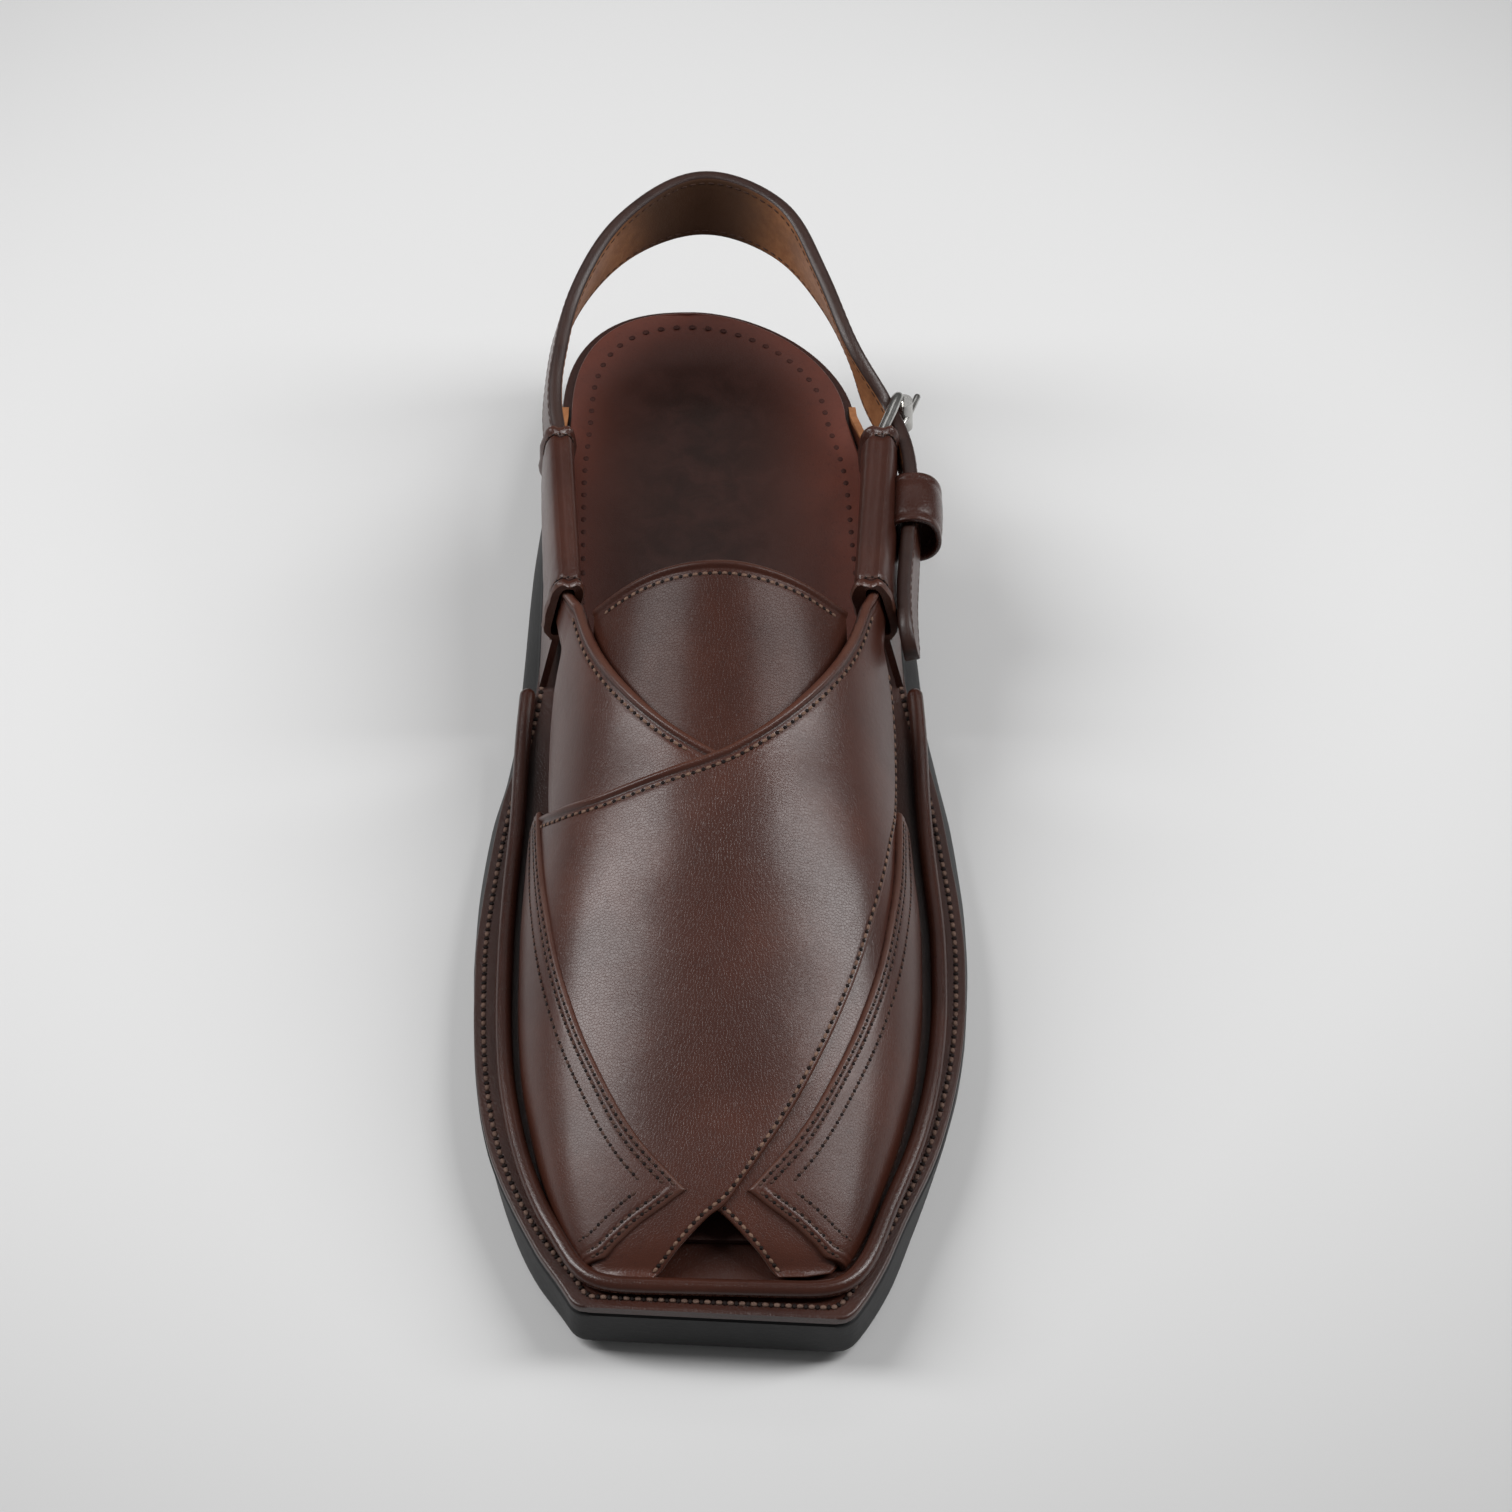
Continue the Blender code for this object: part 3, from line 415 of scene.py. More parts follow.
def makeLeather(name, tint=1.0, gloss=0.0, grainDepth=1.0, lined=False, shine=0.42):
    material, shader, wire, place = newMaterial(name, Coat_Roughness=0.22, Specular_IOR_Level=shine)
    cloud = place.noise(28.0, 3.0, 0.55)
    patch = place.noise(95.0, 3.0, 0.6, 0.4)
    fleck = place.noise(900.0, 2.0, 0.6)
    wear = wire.node("ShaderNodeAttribute", {"attribute_name": "wear"}, {}, 2)
    shade = wire.node("ShaderNodeAttribute", {"attribute_name": "shade"}, {}, 2)
    scale = [tint * c for c in leather["color"]]
    deep = [tint * c for c in leather["deep"]]
    warm = [tint * c for c in leather["warm"]]
    worn = [tint * c for c in leather["worn"]]
    color = (cloud.step(0.32, 0.68)).blend(scale, warm)
    color = (patch.step(0.35, 0.75) * 0.45).blend(color, scale)
    color = (fleck.step(0.55, 0.75) * 0.25).blend(color, deep)
    color = (shade.step(0.0, 1.0)).blend(color, deep)
    rub = wear * (patch.step(0.3, 0.6) * 0.6 + 0.4)
    color = rub.blend(color, worn)
    if lined:
        lining = wire.node("ShaderNodeAttribute", {"attribute_name": "lining"}, {}, 2)
        nap = place.noise(420.0, 4.0, 0.65).step(0.3, 0.7)
        tan = nap.blend((0.265, 0.100, 0.035), (0.380, 0.158, 0.060))
        tan = (place.noise(60.0, 2.0).step(0.35, 0.7) * 0.5).blend(tan, (0.150, 0.058, 0.020))
        x, y, z = place.parts()
        # Painted shade: the lining goes dark round the middle of the heel strap's back, where shade falls
        # inside the curve.
        middle = ((x + 0.006) * (x + 0.006) * 2000.0).step(0.1, 0.95)
        tan = middle.blend((0.070, 0.029, 0.0120), tan)
        color = lining.step(0.45, 0.55).blend(color, tan)
    pores = place.cells(leather["pores"]).step(0.0, 0.12)
    grain = place.cells(leather["grain"], "F1", 1.0)
    fold = place.noise(240.0, 4.0, 0.6, 0.8)
    height = pores * 0.5 + grain * 0.4 + fold * 1.6
    rough = patch * 0.10 + fleck * 0.06 + (leather["roughness"] - 0.08 - gloss)
    rough = rough + shade * 0.08
    if lined:
        rough = lining.step(0.45, 0.55) * 0.35 + rough
    plug(shader, color, rough, bumpOf(height, 0.00006 * grainDepth, 0.55))
    shader.inputs["Coat Weight"].default_value = 0.28 * shine
    return material


def makeInsoleLeather():
    material, shader, wire, place = newMaterial("insoleLeather", Coat_Roughness=0.3, Specular_IOR_Level=0.3)
    x, y, z = place.parts()
    cloud = place.noise(24.0, 3.0, 0.5)
    patch = place.noise(130.0, 3.0, 0.6, 0.5)
    fleck = place.noise(1100.0, 2.0, 0.6)
    centre = ((x + 0.0055) / 0.033) * ((x + 0.0055) / 0.033)
    back = ((y - 0.002) / 0.034).maths("MAXIMUM", (y - 0.002) / 0.034, 0.0)
    # The board is dark in the middle of the heel seat, lighter and redder towards its rim and heel, and a
    # middle brown towards the toe.
    rim = (centre + back * back * 1.1 + (cloud - 0.5) * 0.16).step(-0.15, 1.45)
    color = rim.blend((0.0150, 0.0050, 0.0032), (0.130, 0.037, 0.0245))
    front = (y + 0.040).step(0.0, -0.060)
    color = (front * 0.7).blend(color, (0.052, 0.0160, 0.0105))
    color = (patch.step(0.35, 0.75) * 0.35).blend(color, (0.060, 0.021, 0.016))
    color = (fleck.step(0.55, 0.75) * 0.25).blend(color, (0.028, 0.011, 0.009))
    height = place.cells(1500.0).step(0.0, 0.12) * 0.4 + place.noise(300.0, 3.0) * 1.2
    rough = patch * 0.12 + 0.38
    plug(shader, color, rough, bumpOf(height, 0.00006, 0.5))
    shader.inputs["Coat Weight"].default_value = 0.1
    return material


def makeRubber():
    material, shader, wire, place = newMaterial("soleRubber", Specular_IOR_Level=0.25)
    x, y, z = place.parts()
    cloud = place.noise(30.0, 3.0, 0.6)
    scuff = place.scaled((1.0, 1.0, 6.0)).noise(160.0, 4.0, 0.7, 0.6)
    fleck = place.noise(1600.0, 2.0, 0.6)
    color = cloud.step(0.3, 0.7).blend((0.0085, 0.0085, 0.0088), (0.014, 0.014, 0.0145))
    color = (scuff.step(0.56, 0.74) * 0.5).blend(color, (0.030, 0.0295, 0.029))
    height = fleck * 0.8 + place.cells(900.0, "F1") * 0.5 + scuff * 0.6
    rough = scuff * 0.16 + 0.42
    plug(shader, color, rough, bumpOf(height, 0.00007, 0.5))
    return material


def makeCutEdge(name, low, high):
    material, shader, wire, place = newMaterial(name)
    layers = place.scaled((0.25, 0.25, 1.0)).noise(1800.0, 3.0, 0.6)
    cloud = place.noise(60.0, 3.0, 0.6)
    color = (layers.step(0.3, 0.7) * 0.7 + cloud * 0.3).blend(low, high)
    plug(shader, color, cloud * 0.2 + 0.45, bumpOf(layers, 0.00008, 0.5))
    return material


def makeThread(name, low, high):
    material, shader, wire, place = newMaterial(name, Specular_IOR_Level=0.2)
    twist = place.noise(2600.0, 2.0, 0.5)
    cloud = place.noise(120.0, 2.0, 0.5)
    color = (twist.step(0.3, 0.7) * 0.6 + cloud.step(0.3, 0.7) * 0.4).blend(low, high)
    plug(shader, color, cloud * 0.2 + 0.6, bumpOf(twist, 0.00010, 0.7))
    return material


def makeNickel():
    material, shader, wire, place = newMaterial("buckleNickel", Metallic=1.0)
    cloud = place.noise(260.0, 3.0, 0.6)
    hair = place.scaled((1.0, 8.0, 1.0)).noise(900.0, 2.0, 0.6)
    color = cloud.step(0.3, 0.7).blend((0.40, 0.39, 0.37), (0.56, 0.55, 0.53))
    rough = hair * 0.12 + cloud * 0.08 + 0.10
    plug(shader, color, rough, bumpOf(hair, 0.00001, 0.3))
    return material


vampLeather = makeLeather("vampLeather")
wingLeather = makeLeather("wingLeather", 0.95, -0.05)
tongueLeather = makeLeather("tongueLeather", 0.80, -0.06, 1.2, shine=0.22)
tabLeather = makeLeather("tabLeather", 0.92, 0.02, 1.3, lined=True)
strapLeather = makeLeather("strapLeather", 0.86, 0.0, 1.2, lined=True)
keeperLeather = makeLeather("keeperLeather", 0.80, 0.06, 1.0)
weltLeather = makeLeather("weltLeather", 0.58, 0.0, 1.2)
beadLeather = makeLeather("beadLeather", 0.66, 0.09, 0.8)
insoleLeather = makeInsoleLeather()
soleRubber = makeRubber()
rawEdge = makeCutEdge("rawEdge", (0.10, 0.050, 0.028), (0.21, 0.115, 0.065))
brownThread = makeThread("brownThread", (0.046, 0.0235, 0.0175), (0.112, 0.062, 0.047))
# Near-black, painted shade for the stitch holes, put on small raised marks between the stitches.
holeShade = makeThread("holeShade", (0.006, 0.0030, 0.0026), (0.014, 0.0070, 0.0055))
insoleHole = makeThread("insoleHole", (0.030, 0.0100, 0.0078), (0.060, 0.0190, 0.0140))
weltThread = makeThread("weltThread", (0.085, 0.048, 0.036), (0.200, 0.128, 0.098))
tanThread = makeThread("tanThread", (0.110, 0.060, 0.042), (0.230, 0.142, 0.102))
buckleNickel = makeNickel()
print("materials made")


# --- the sole


def soleY(share):
    return sole["heelLength"] / 2 - sole["length"] * share


def soleShare(y):
    return (sole["heelLength"] / 2 - y) / sole["length"]


def treadHeight(share):
    return (readTable(tread, "heel", share) * sole["heelHeight"]
            + readTable(tread, "spring", share) * sole["toeSpring"])


def seatHeight(share):
    return treadHeight(share) + sole["outsoleThick"] + sole["gap"] + sole["midsoleThick"]


def edgePoint(widths, side, share, grow, setback=0.0):
    share = np.asarray(share, float)
    grow = np.broadcast_to(np.asarray(grow, float), share.shape)
    name = "medial" if side < 0 else "lateral"
    ball = sole["ballWidth"]
    wide = side * (widths[name][0] * ball + grow)
    apex = sole["heelApex"] * ball
    back = np.clip(1 - share / sole["heelRound"], 0.0, 1.0)
    power = sole["heelPower"][side]
    heelX = apex + (wide - apex) * (1 - back ** power) ** (1 / power)
    heelY = soleY(sole["heelRound"]) + back * (sole["heelRound"] * sole["length"] + grow - setback)
    toe = ramp((share - 0.9) / 0.1)
    bodyX = side * (readTable(widths, name, share) * ball + grow)
    bodyY = soleY(share) - toe * (grow + side * sole["toeSkew"] / 2)
    behind = share < sole["heelRound"]
    return np.where(behind, heelX, bodyX), np.where(behind, heelY, bodyY)


def heelStations(count):
    turns = np.concatenate(([0.0, 0.8, 2.0, 4.0, 6.5], np.linspace(9, 90, count)))
    return sole["heelRound"] * (1 - np.cos(np.radians(turns)))


# A slab of the sole: a ring across it at each station, with its rims eased.
# Levels run from the bottom up: growth past the outline and height, as functions of the share.
def slabPoints(stations, widths, levels, depths=None, setback=0.0, toeEase=0.0, across=15, dish=0.0):
    stations = np.asarray(stations, float)
    end = stations[-1]
    away = (end - stations) * sole["length"]
    inset = np.zeros(len(stations))
    if toeEase:
        near = np.clip(1 - away / toeEase, 0, 1)
        inset = toeEase * (1 - np.sqrt(np.clip(1 - near ** 2, 0, 1))) * 0.9
    rows = []
    columns = {-1: [], 1: []}
    for side in (-1, 1):
        for grow, height in levels:
            x, y = edgePoint(widths, side, stations, grow(stations), setback)
            x = x - side * inset
            columns[side].append(np.stack((x, y, height(stations)), 1))
    bottomM, bottomL = columns[-1][0], columns[1][0]
    topM, topL = columns[-1][-1], columns[1][-1]
    shares = np.linspace(0, 1, across)
    ring = []
    for level in columns[-1]:
        ring.append(level)
    for t in shares[1:-1]:
        point = mix(topM, topL, t)
        point[:, 2] -= dish * np.sin(np.pi * t) ** 0.8
        ring.append(point)
    for level in columns[1][::-1]:
        ring.append(level)
    for t in shares[1:-1]:
        ring.append(mix(bottomL, bottomM, t))
    ring.append(columns[-1][0])
    points = np.stack(ring, 1)
    ends = [min(columns[side], key=lambda level: level[-1, 1])[-1] for side in (-1, 1)]
    front = points[-1].copy()
    share = (front[:, 0] - ends[0][0]) / (ends[1][0] - ends[0][0])
    front[:, 1] = mix(ends[0][1], ends[1][1], share)
    middle = np.array([(ends[0][0] + ends[1][0]) / 2, 0, front[:, 2].mean()])
    for axis, pull in ((0, 0.975), (2, 0.9)):
        front[:, axis] = mix(middle[axis], front[:, axis], pull)
    points = np.concatenate((points, front[None]))
    if depths is not None:
        depths = np.append(depths, 0.0)
        count = len(levels)
        lower = [0] + list(range(count + across - 2 + count - 1, points.shape[1]))
        for j in lower:
            points[:, j, 2] += depths
    return points


def eased(levels, radius, top=True, bottom=True, steps=4):
    result = []
    first, last = levels[0], levels[-1]
    turns = np.linspace(0, np.pi / 2, steps + 1)

    def rim(level, turn, sign):
        pull = radius * (1 - math.sin(turn))
        lift = radius * (1 - math.cos(turn))
        return (lambda s: level[0](s) - pull, lambda s: level[1](s) + sign * lift)

    if bottom:
        result += [rim(first, t, 1) for t in turns]
    else:
        result.append(first)
    result += levels[1:-1]
    if top:
        result += [rim(last, t, -1) for t in turns[::-1]]
    else:
        result.append(last)
    return result


def flareAt(share):
    return readTable(rubberFlare, "flare", share) * sole["flare"]


def grooveLines(centres):
    lines = []
    for centre in centres:
        for step, depth in ((-0.5, 0.0), (-0.36, 0.85), (-0.3, 1.0), (0.3, 1.0), (0.36, 0.85), (0.5, 0.0)):
            lines.append((soleShare(centre - step * sole["grooveWidth"]),
                          depth * sole["grooveDepth"]))
    return lines


def withGrooves(shares, centres):
    lines = grooveLines(centres)
    kept = [(s, 0.0) for s in shares
            if all(abs(s - line[0]) > 0.6 * sole["grooveWidth"] / sole["length"] for line in lines)]
    rows = sorted(kept + lines)
    return np.array([row[0] for row in rows]), np.array([row[1] for row in rows])


# The welt stands out past the solids' outline round the ball of the foot.
def weltGrow(share):
    return 2.3 * mm * ramp((share - 0.38) / 0.10) * (1 - ramp((share - 0.84) / 0.10))


toeStations = 1.0 - np.array([0.0, 0.15, 0.5, 1.0, 1.7, 2.6]) * mm / sole["length"]
ballLine = -0.5 * sole["length"]
shares, depths = withGrooves(
    list(heelStations(22)) + list(np.linspace(0.14, 0.988, 110)) + list(toeStations),
    [ballLine + (i - 2) * sole["groovePitch"] for i in range(5)])
low = treadHeight
thick = sole["outsoleThick"]


# The rubber's side wall: how far it has come in from the flare to the welt, at shares of its height.
def wallLevel(inward, rise):
    def grow(share):
        return mix(flareAt(share), np.maximum(0.12 * flareAt(share), weltGrow(share) + 0.15 * mm),
                   inward)

    return grow, lambda share: low(share) + rise * thick


outsoleLevels = eased([wallLevel(*level) for level in (
    (0.0, 0.0), (0.03, 0.18), (0.1, 0.34), (0.3, 0.52), (0.6, 0.72), (0.88, 0.88), (1.0, 1.0),
)], 0.7 * mm)
addPiece("outsoleRubber", gridMesh(
    slabPoints(shares, outline, outsoleLevels, depths, toeEase=2.4 * mm), cap=True),
    soleRubber, ["outsole"], sharp=40)

heelFront = soleShare(-sole["heelLength"] / 2)
shares, depths = withGrooves(
    list(heelStations(22)) + list(np.linspace(0.14, heelFront, 24)), [-17 * mm, 17 * mm])
heelTop = sole["heelHeight"] - sole["gap"]
heelLevels = eased([
    (flareAt, lambda s: 0.0 * s),
    (flareAt, lambda s: 0.0 * s + 0.5 * heelTop),
    (flareAt, lambda s: 0.0 * s + heelTop),
], 0.6 * mm)
addPiece("heelRubber", gridMesh(
    slabPoints(shares, outline, heelLevels, depths), cap=True),
    soleRubber, ["heel_block"], sharp=40)

shares = np.concatenate((heelStations(22), np.linspace(0.14, 0.988, 120), toeStations[::-1]))
weltLevels = eased([
    (weltGrow, lambda s: seatHeight(s) - sole["midsoleThick"]),
    (weltGrow, seatHeight),
], 0.55 * mm)
addPiece("welt", gridMesh(
    slabPoints(shares, outline, weltLevels, toeEase=2.0 * mm), cap=True),
    weltLeather, ["midsole"], sharp=40)

insole = {
    "toe": 0.94,
    "toeInset": 1.6 * mm,
    "dish": 0.5 * mm,
    "stitchInset": 5.4 * mm,
    "stitchPitch": 4.0 * mm,
}


def insoleInset(share):
    return -1.5 * sole["gap"] - insole["toeInset"] * ramp((share - 0.8) / 0.12)


insoleRim = (outline["medial"][0] - feather["medial"][0]) * sole["ballWidth"]
shares = np.concatenate((heelStations(22), np.linspace(0.14, insole["toe"], 110)))
insoleLevels = eased([
    (insoleInset, lambda s: seatHeight(s) + sole["gap"]),
    (insoleInset, lambda s: seatHeight(s) + sole["gap"] + sole["insoleThick"]),
], 0.6 * mm)
addPiece("insoleBoard", gridMesh(
    slabPoints(shares, feather, insoleLevels, setback=insoleRim, dish=insole["dish"]), cap=True),
    insoleLeather, ["insole"], sharp=40)


# A line on top of a slab, inset from its outline, from one side round the heel to the other.
def slabLine(widths, grow, height, shares, setback=0.0, sides=(-1, 1)):
    line = []
    for side in sides:
        x, y = edgePoint(widths, side, shares, grow(shares), setback)
        points = np.stack((x, y, height(shares)), 1)
        line.append(points if side == sides[-1] else points[::-1])
    return np.concatenate(line)


upright = np.array([[0.0, 0.0, 1.0]])


def withNormals(points, normal=upright):
    return points, np.repeat(normal, len(points), 0)


shares = np.concatenate((heelStations(30), np.linspace(0.14, 0.44, 60)))
line = slabLine(feather, lambda s: 0.0 * s - insole["stitchInset"],
                lambda s: seatHeight(s) + sole["gap"] + sole["insoleThick"] - 0.25 * mm,
                shares, insoleRim)
addStitches("insoleStitches", [withNormals(evenly(line, insole["stitchPitch"]))],
            insoleHole, 1.5 * mm, 0.5 * mm, 0.44)

weltSeam = {"pitch": 2.45 * mm, "width": 1.15 * mm, "height": 0.8 * mm}
shares = np.linspace(0.34, 1.0, 150)


def weltInset(share):
    return weltGrow(share) - (1.15 * mm + 1.05 * mm * ramp((share - 0.40) / 0.1)
                              + 0.35 * mm * ramp((share - 0.9) / 0.06))


line = slabLine(outline, weltInset, lambda s: seatHeight(s) - 0.05 * mm, shares)
half = len(line) // 2
toeLine = np.stack([mix(line[0], line[-1], t) for t in np.linspace(0, 1, 30)[1:-1]])
line = np.concatenate((line[:half][::-1], toeLine, line[half:][::-1]))
addSeam("weltStitches", [withNormals(evenly(line, weltSeam["pitch"]))], weltThread,
        weltSeam["width"], weltSeam["height"])
print("sole made")


# --- the last and the leather on it


lastToe = 0.9635
overlap = 1.1 * mm
leatherThick = 2.2 * mm
wingStand = 1.0 * mm


def lastBare(place, share):
    turn = place * np.pi / 2
    full = 2 / readTable(crown, "fullness", share)
    medial = readTable(feather, "medial", share)
    lateral = readTable(feather, "lateral", share)
    wide = np.where(place < 0, medial, lateral) * sole["ballWidth"]
    tall = readTable(crown, "height", share) * crown["instep"]
    x = np.sign(place) * wide * np.abs(np.sin(turn)) ** full
    z = seatHeight(share) + sole["gap"] + tall * np.abs(np.cos(turn)) ** full
    return np.stack((x, soleY(share) + 0 * x, z), -1)


def lastNormal(place, share):
    step = 0.004
    near = np.clip(place, -1 + 2 * step, 1 - 2 * step)
    along = np.clip(share, crown["share"][0] + step, lastToe - 2 * step)
    across = lastBare(near + step, along) - lastBare(near - step, along)
    ahead = lastBare(near, along + step / 2) - lastBare(near, along - step / 2)
    normal = np.cross(ahead, across)
    normal /= np.linalg.norm(normal, axis=-1)[..., None]
    turned = (normal[..., 2] < 0) & (np.abs(place) < 0.9)
    return np.where(turned[..., None], -normal, normal)


def onLast(place, share, lift):
    return lastBare(place, share) + lift[..., None] * lastNormal(place, share)


strapBack = {
    "along": [0.0, 0.107, 0.235, 0.393, 0.519, 0.689, 0.791, 0.892, 1.0],
    "round": [0.581, 0.485, 0.33, 0.102, -0.077, -0.386, -0.587, -0.8, -1.0],
    "share": [0.4226, 0.4675, 0.516, 0.566, 0.591, 0.604, 0.596, 0.575, 0.548],
}
strapFront = {
    "along": [0.0, 0.057, 0.113, 0.178, 0.245, 0.323, 0.462, 0.586, 0.731, 0.846, 0.899, 0.939,
              1.0],
    "round": [0.7, 0.778, 0.8, 0.783, 0.735, 0.652, 0.522, 0.404, 0.236, 0.061, -0.008, -0.079,
              -0.284],
    "share": [0.443, 0.471, 0.503, 0.542, 0.583, 0.627, 0.705, 0.774, 0.851, 0.907, 0.929,
              0.944, 0.9695],
}
strapFoot = {
    "along": [0.0, 0.45, 0.82, 0.9, 1.0],
    "round": [-1.0, -1.0, -1.0, -0.85, -0.284],
    "share": [0.548, 0.74, 0.94, 0.9695, 0.9695],
}
wingInner = {
    "along": [0.0, 0.1, 0.25, 0.44, 0.59, 0.74, 0.88, 1.0],
    "round": [0.77, 0.73, 0.66, 0.58, 0.5, 0.4, 0.27, 0.08],
    "share": [0.575, 0.606, 0.66, 0.72, 0.77, 0.82, 0.87, 0.9133],
}
wingOuter = {
    "along": [0.0, 0.3, 0.65, 1.0],
    "round": [1.0, 1.0, 1.0, 1.0],
    "share": [0.57, 0.69, 0.83, 0.957],
}
wingToe = {
    "along": [0.0, 0.14, 0.32, 0.52, 0.78, 1.0],
    "round": [0.08, 0.18, 0.326, 0.494, 0.737, 1.0],
    "share": [0.9133, 0.925, 0.937, 0.9475, 0.956, 0.957],
}
tongueTop = {
    "round": [-0.6, -0.43, -0.2, 0.0, 0.2, 0.43, 0.6],
    "share": [0.429, 0.4325, 0.4312, 0.4306, 0.433, 0.435, 0.429],
}
tongueShape = {"front": 0.63, "half": 0.55, "thick": 1.8 * mm, "below": 0.75 * mm}


def onEdge(data, along, side):
    return np.stack((side * readTable(data, "round", along, "along"),
                     readTable(data, "share", along, "along")), -1)


# Place on the last inside four edges: u along the piece, v across it.
def patchPlace(back, front, foot, u, v, side):
    rails = mix(onEdge(back, u, side), onEdge(front, u, side), v[..., None])
    begin = mix(onEdge(back, 0 * u, side), onEdge(front, 0 * u, side), v[..., None])
    near = begin
    end = onEdge(foot, v, side)
    far = mix(onEdge(back, 0 * u + 1, side), onEdge(front, 0 * u + 1, side), v[..., None])
    ends = mix(begin, end, u[..., None])
    result = rails + ends - mix(near, far, u[..., None])
    return result[..., 0], result[..., 1]


sleeve = {
    "top": 58.0 * mm,
    "length": 49.8 * mm,
    "wall": 1.7 * mm,
    "rearHalf": 38.3 * mm,
    "frontHalf": 34.4 * mm,
    "rear": 29.5 * mm,
    "slotHeight": 16.6 * mm,
    "slotPlay": 0.4 * mm,
    "tabThick": 1.7 * mm,
    "heelReach": 34.0 * mm,
    "earReach": 9.0 * mm,
    "earHeight": 11.0 * mm,
}
sling = {
    "thick": 3.4 * mm,
    "width": 15.4 * mm,
    "length": 68.4 * mm,
    "rise": 35.5 * mm,
    "tail": 50.0 * mm,
    "reachIn": 24.0 * mm,
}
slotMiddle = sleeve["top"] - sleeve["wall"] - sleeve["slotHeight"] / 2


def tabCentre(side, y, height):
    y = np.asarray(y, float)
    share = soleShare(y)
    along = np.clip((-sleeve["rear"] - y) / sleeve["length"], 0, 1)
    top = mix(sleeve["rearHalf"], sleeve["frontHalf"], along)
    name = "medial" if side < 0 else "lateral"
    foot = readTable(outline, name, share) * sole["ballWidth"] - sleeve["tabThick"] / 2
    drop = (sleeve["top"] - height) / (sleeve["top"] - seatHeight(share))
    return side * mix(top, foot, drop)


def slotLean(side, y):
    half = sleeve["slotHeight"] / 2
    low = tabCentre(side, y, slotMiddle - half)
    high = tabCentre(side, y, slotMiddle + half)
    lean = np.array([float(high - low), 0.0, sleeve["slotHeight"]])
    return lean / np.linalg.norm(lean)


def earPoint(side, depth, v, lift):
    y = -sleeve["rear"] - sleeve["length"] + depth
    z = slotMiddle + sleeve["earHeight"] * (0.62 - v)
    lean = slotLean(side, -sleeve["rear"] - sleeve["length"] + 4 * mm)
    out = np.array([lean[2], 0.0, -lean[0]]) * side
    centre = np.stack((tabCentre(side, y, z), y + 0 * z, z), -1)
    return centre + out * lift[..., None]


# The surface of a crossing strap. Below u = 0 it runs back into the sleeve.
def strapSurface(side, middle):
    def surface(u, v, lift):
        place, share = patchPlace(strapBack, strapFront, strapFoot, np.clip(u, 0, 1), v, side)
        laid = onLast(place, share, lift)
        depth = sleeve["earReach"] * np.clip(-u, 0, 1)
        ear = earPoint(side, depth, v, lift - middle)
        inside = ramp(np.clip(-u / 0.12, 0, 1))[..., None]
        return mix(laid, ear, inside)

    return surface


def wingSurface(side):
    def surface(u, v, lift):
        place, share = patchPlace(wingInner, wingOuter, wingToe, u, v, side)
        return onLast(place, share, lift)

    return surface


def tongueSurface(u, v, lift):
    place = mix(-tongueShape["half"], tongueShape["half"], v)
    top = readCurve(tongueTop["round"], tongueTop["share"], place)
    return onLast(place, mix(top, tongueShape["front"], u), lift)


rimSteps = np.array([0, 0.04, 0.14, 0.32, 0.6, 1.0]) * mm


def spacing(total, near, far, count):
    head = near[near < total * 0.45]
    tail = total - far[far < total * 0.45][::-1]
    middle = np.linspace(head[-1], tail[0], count)[1:-1]
    return np.concatenate((head, middle, tail))


wave = {"height": 0.08 * mm, "across": 150.0, "along": 120.0}  # how uneven worked leather lies


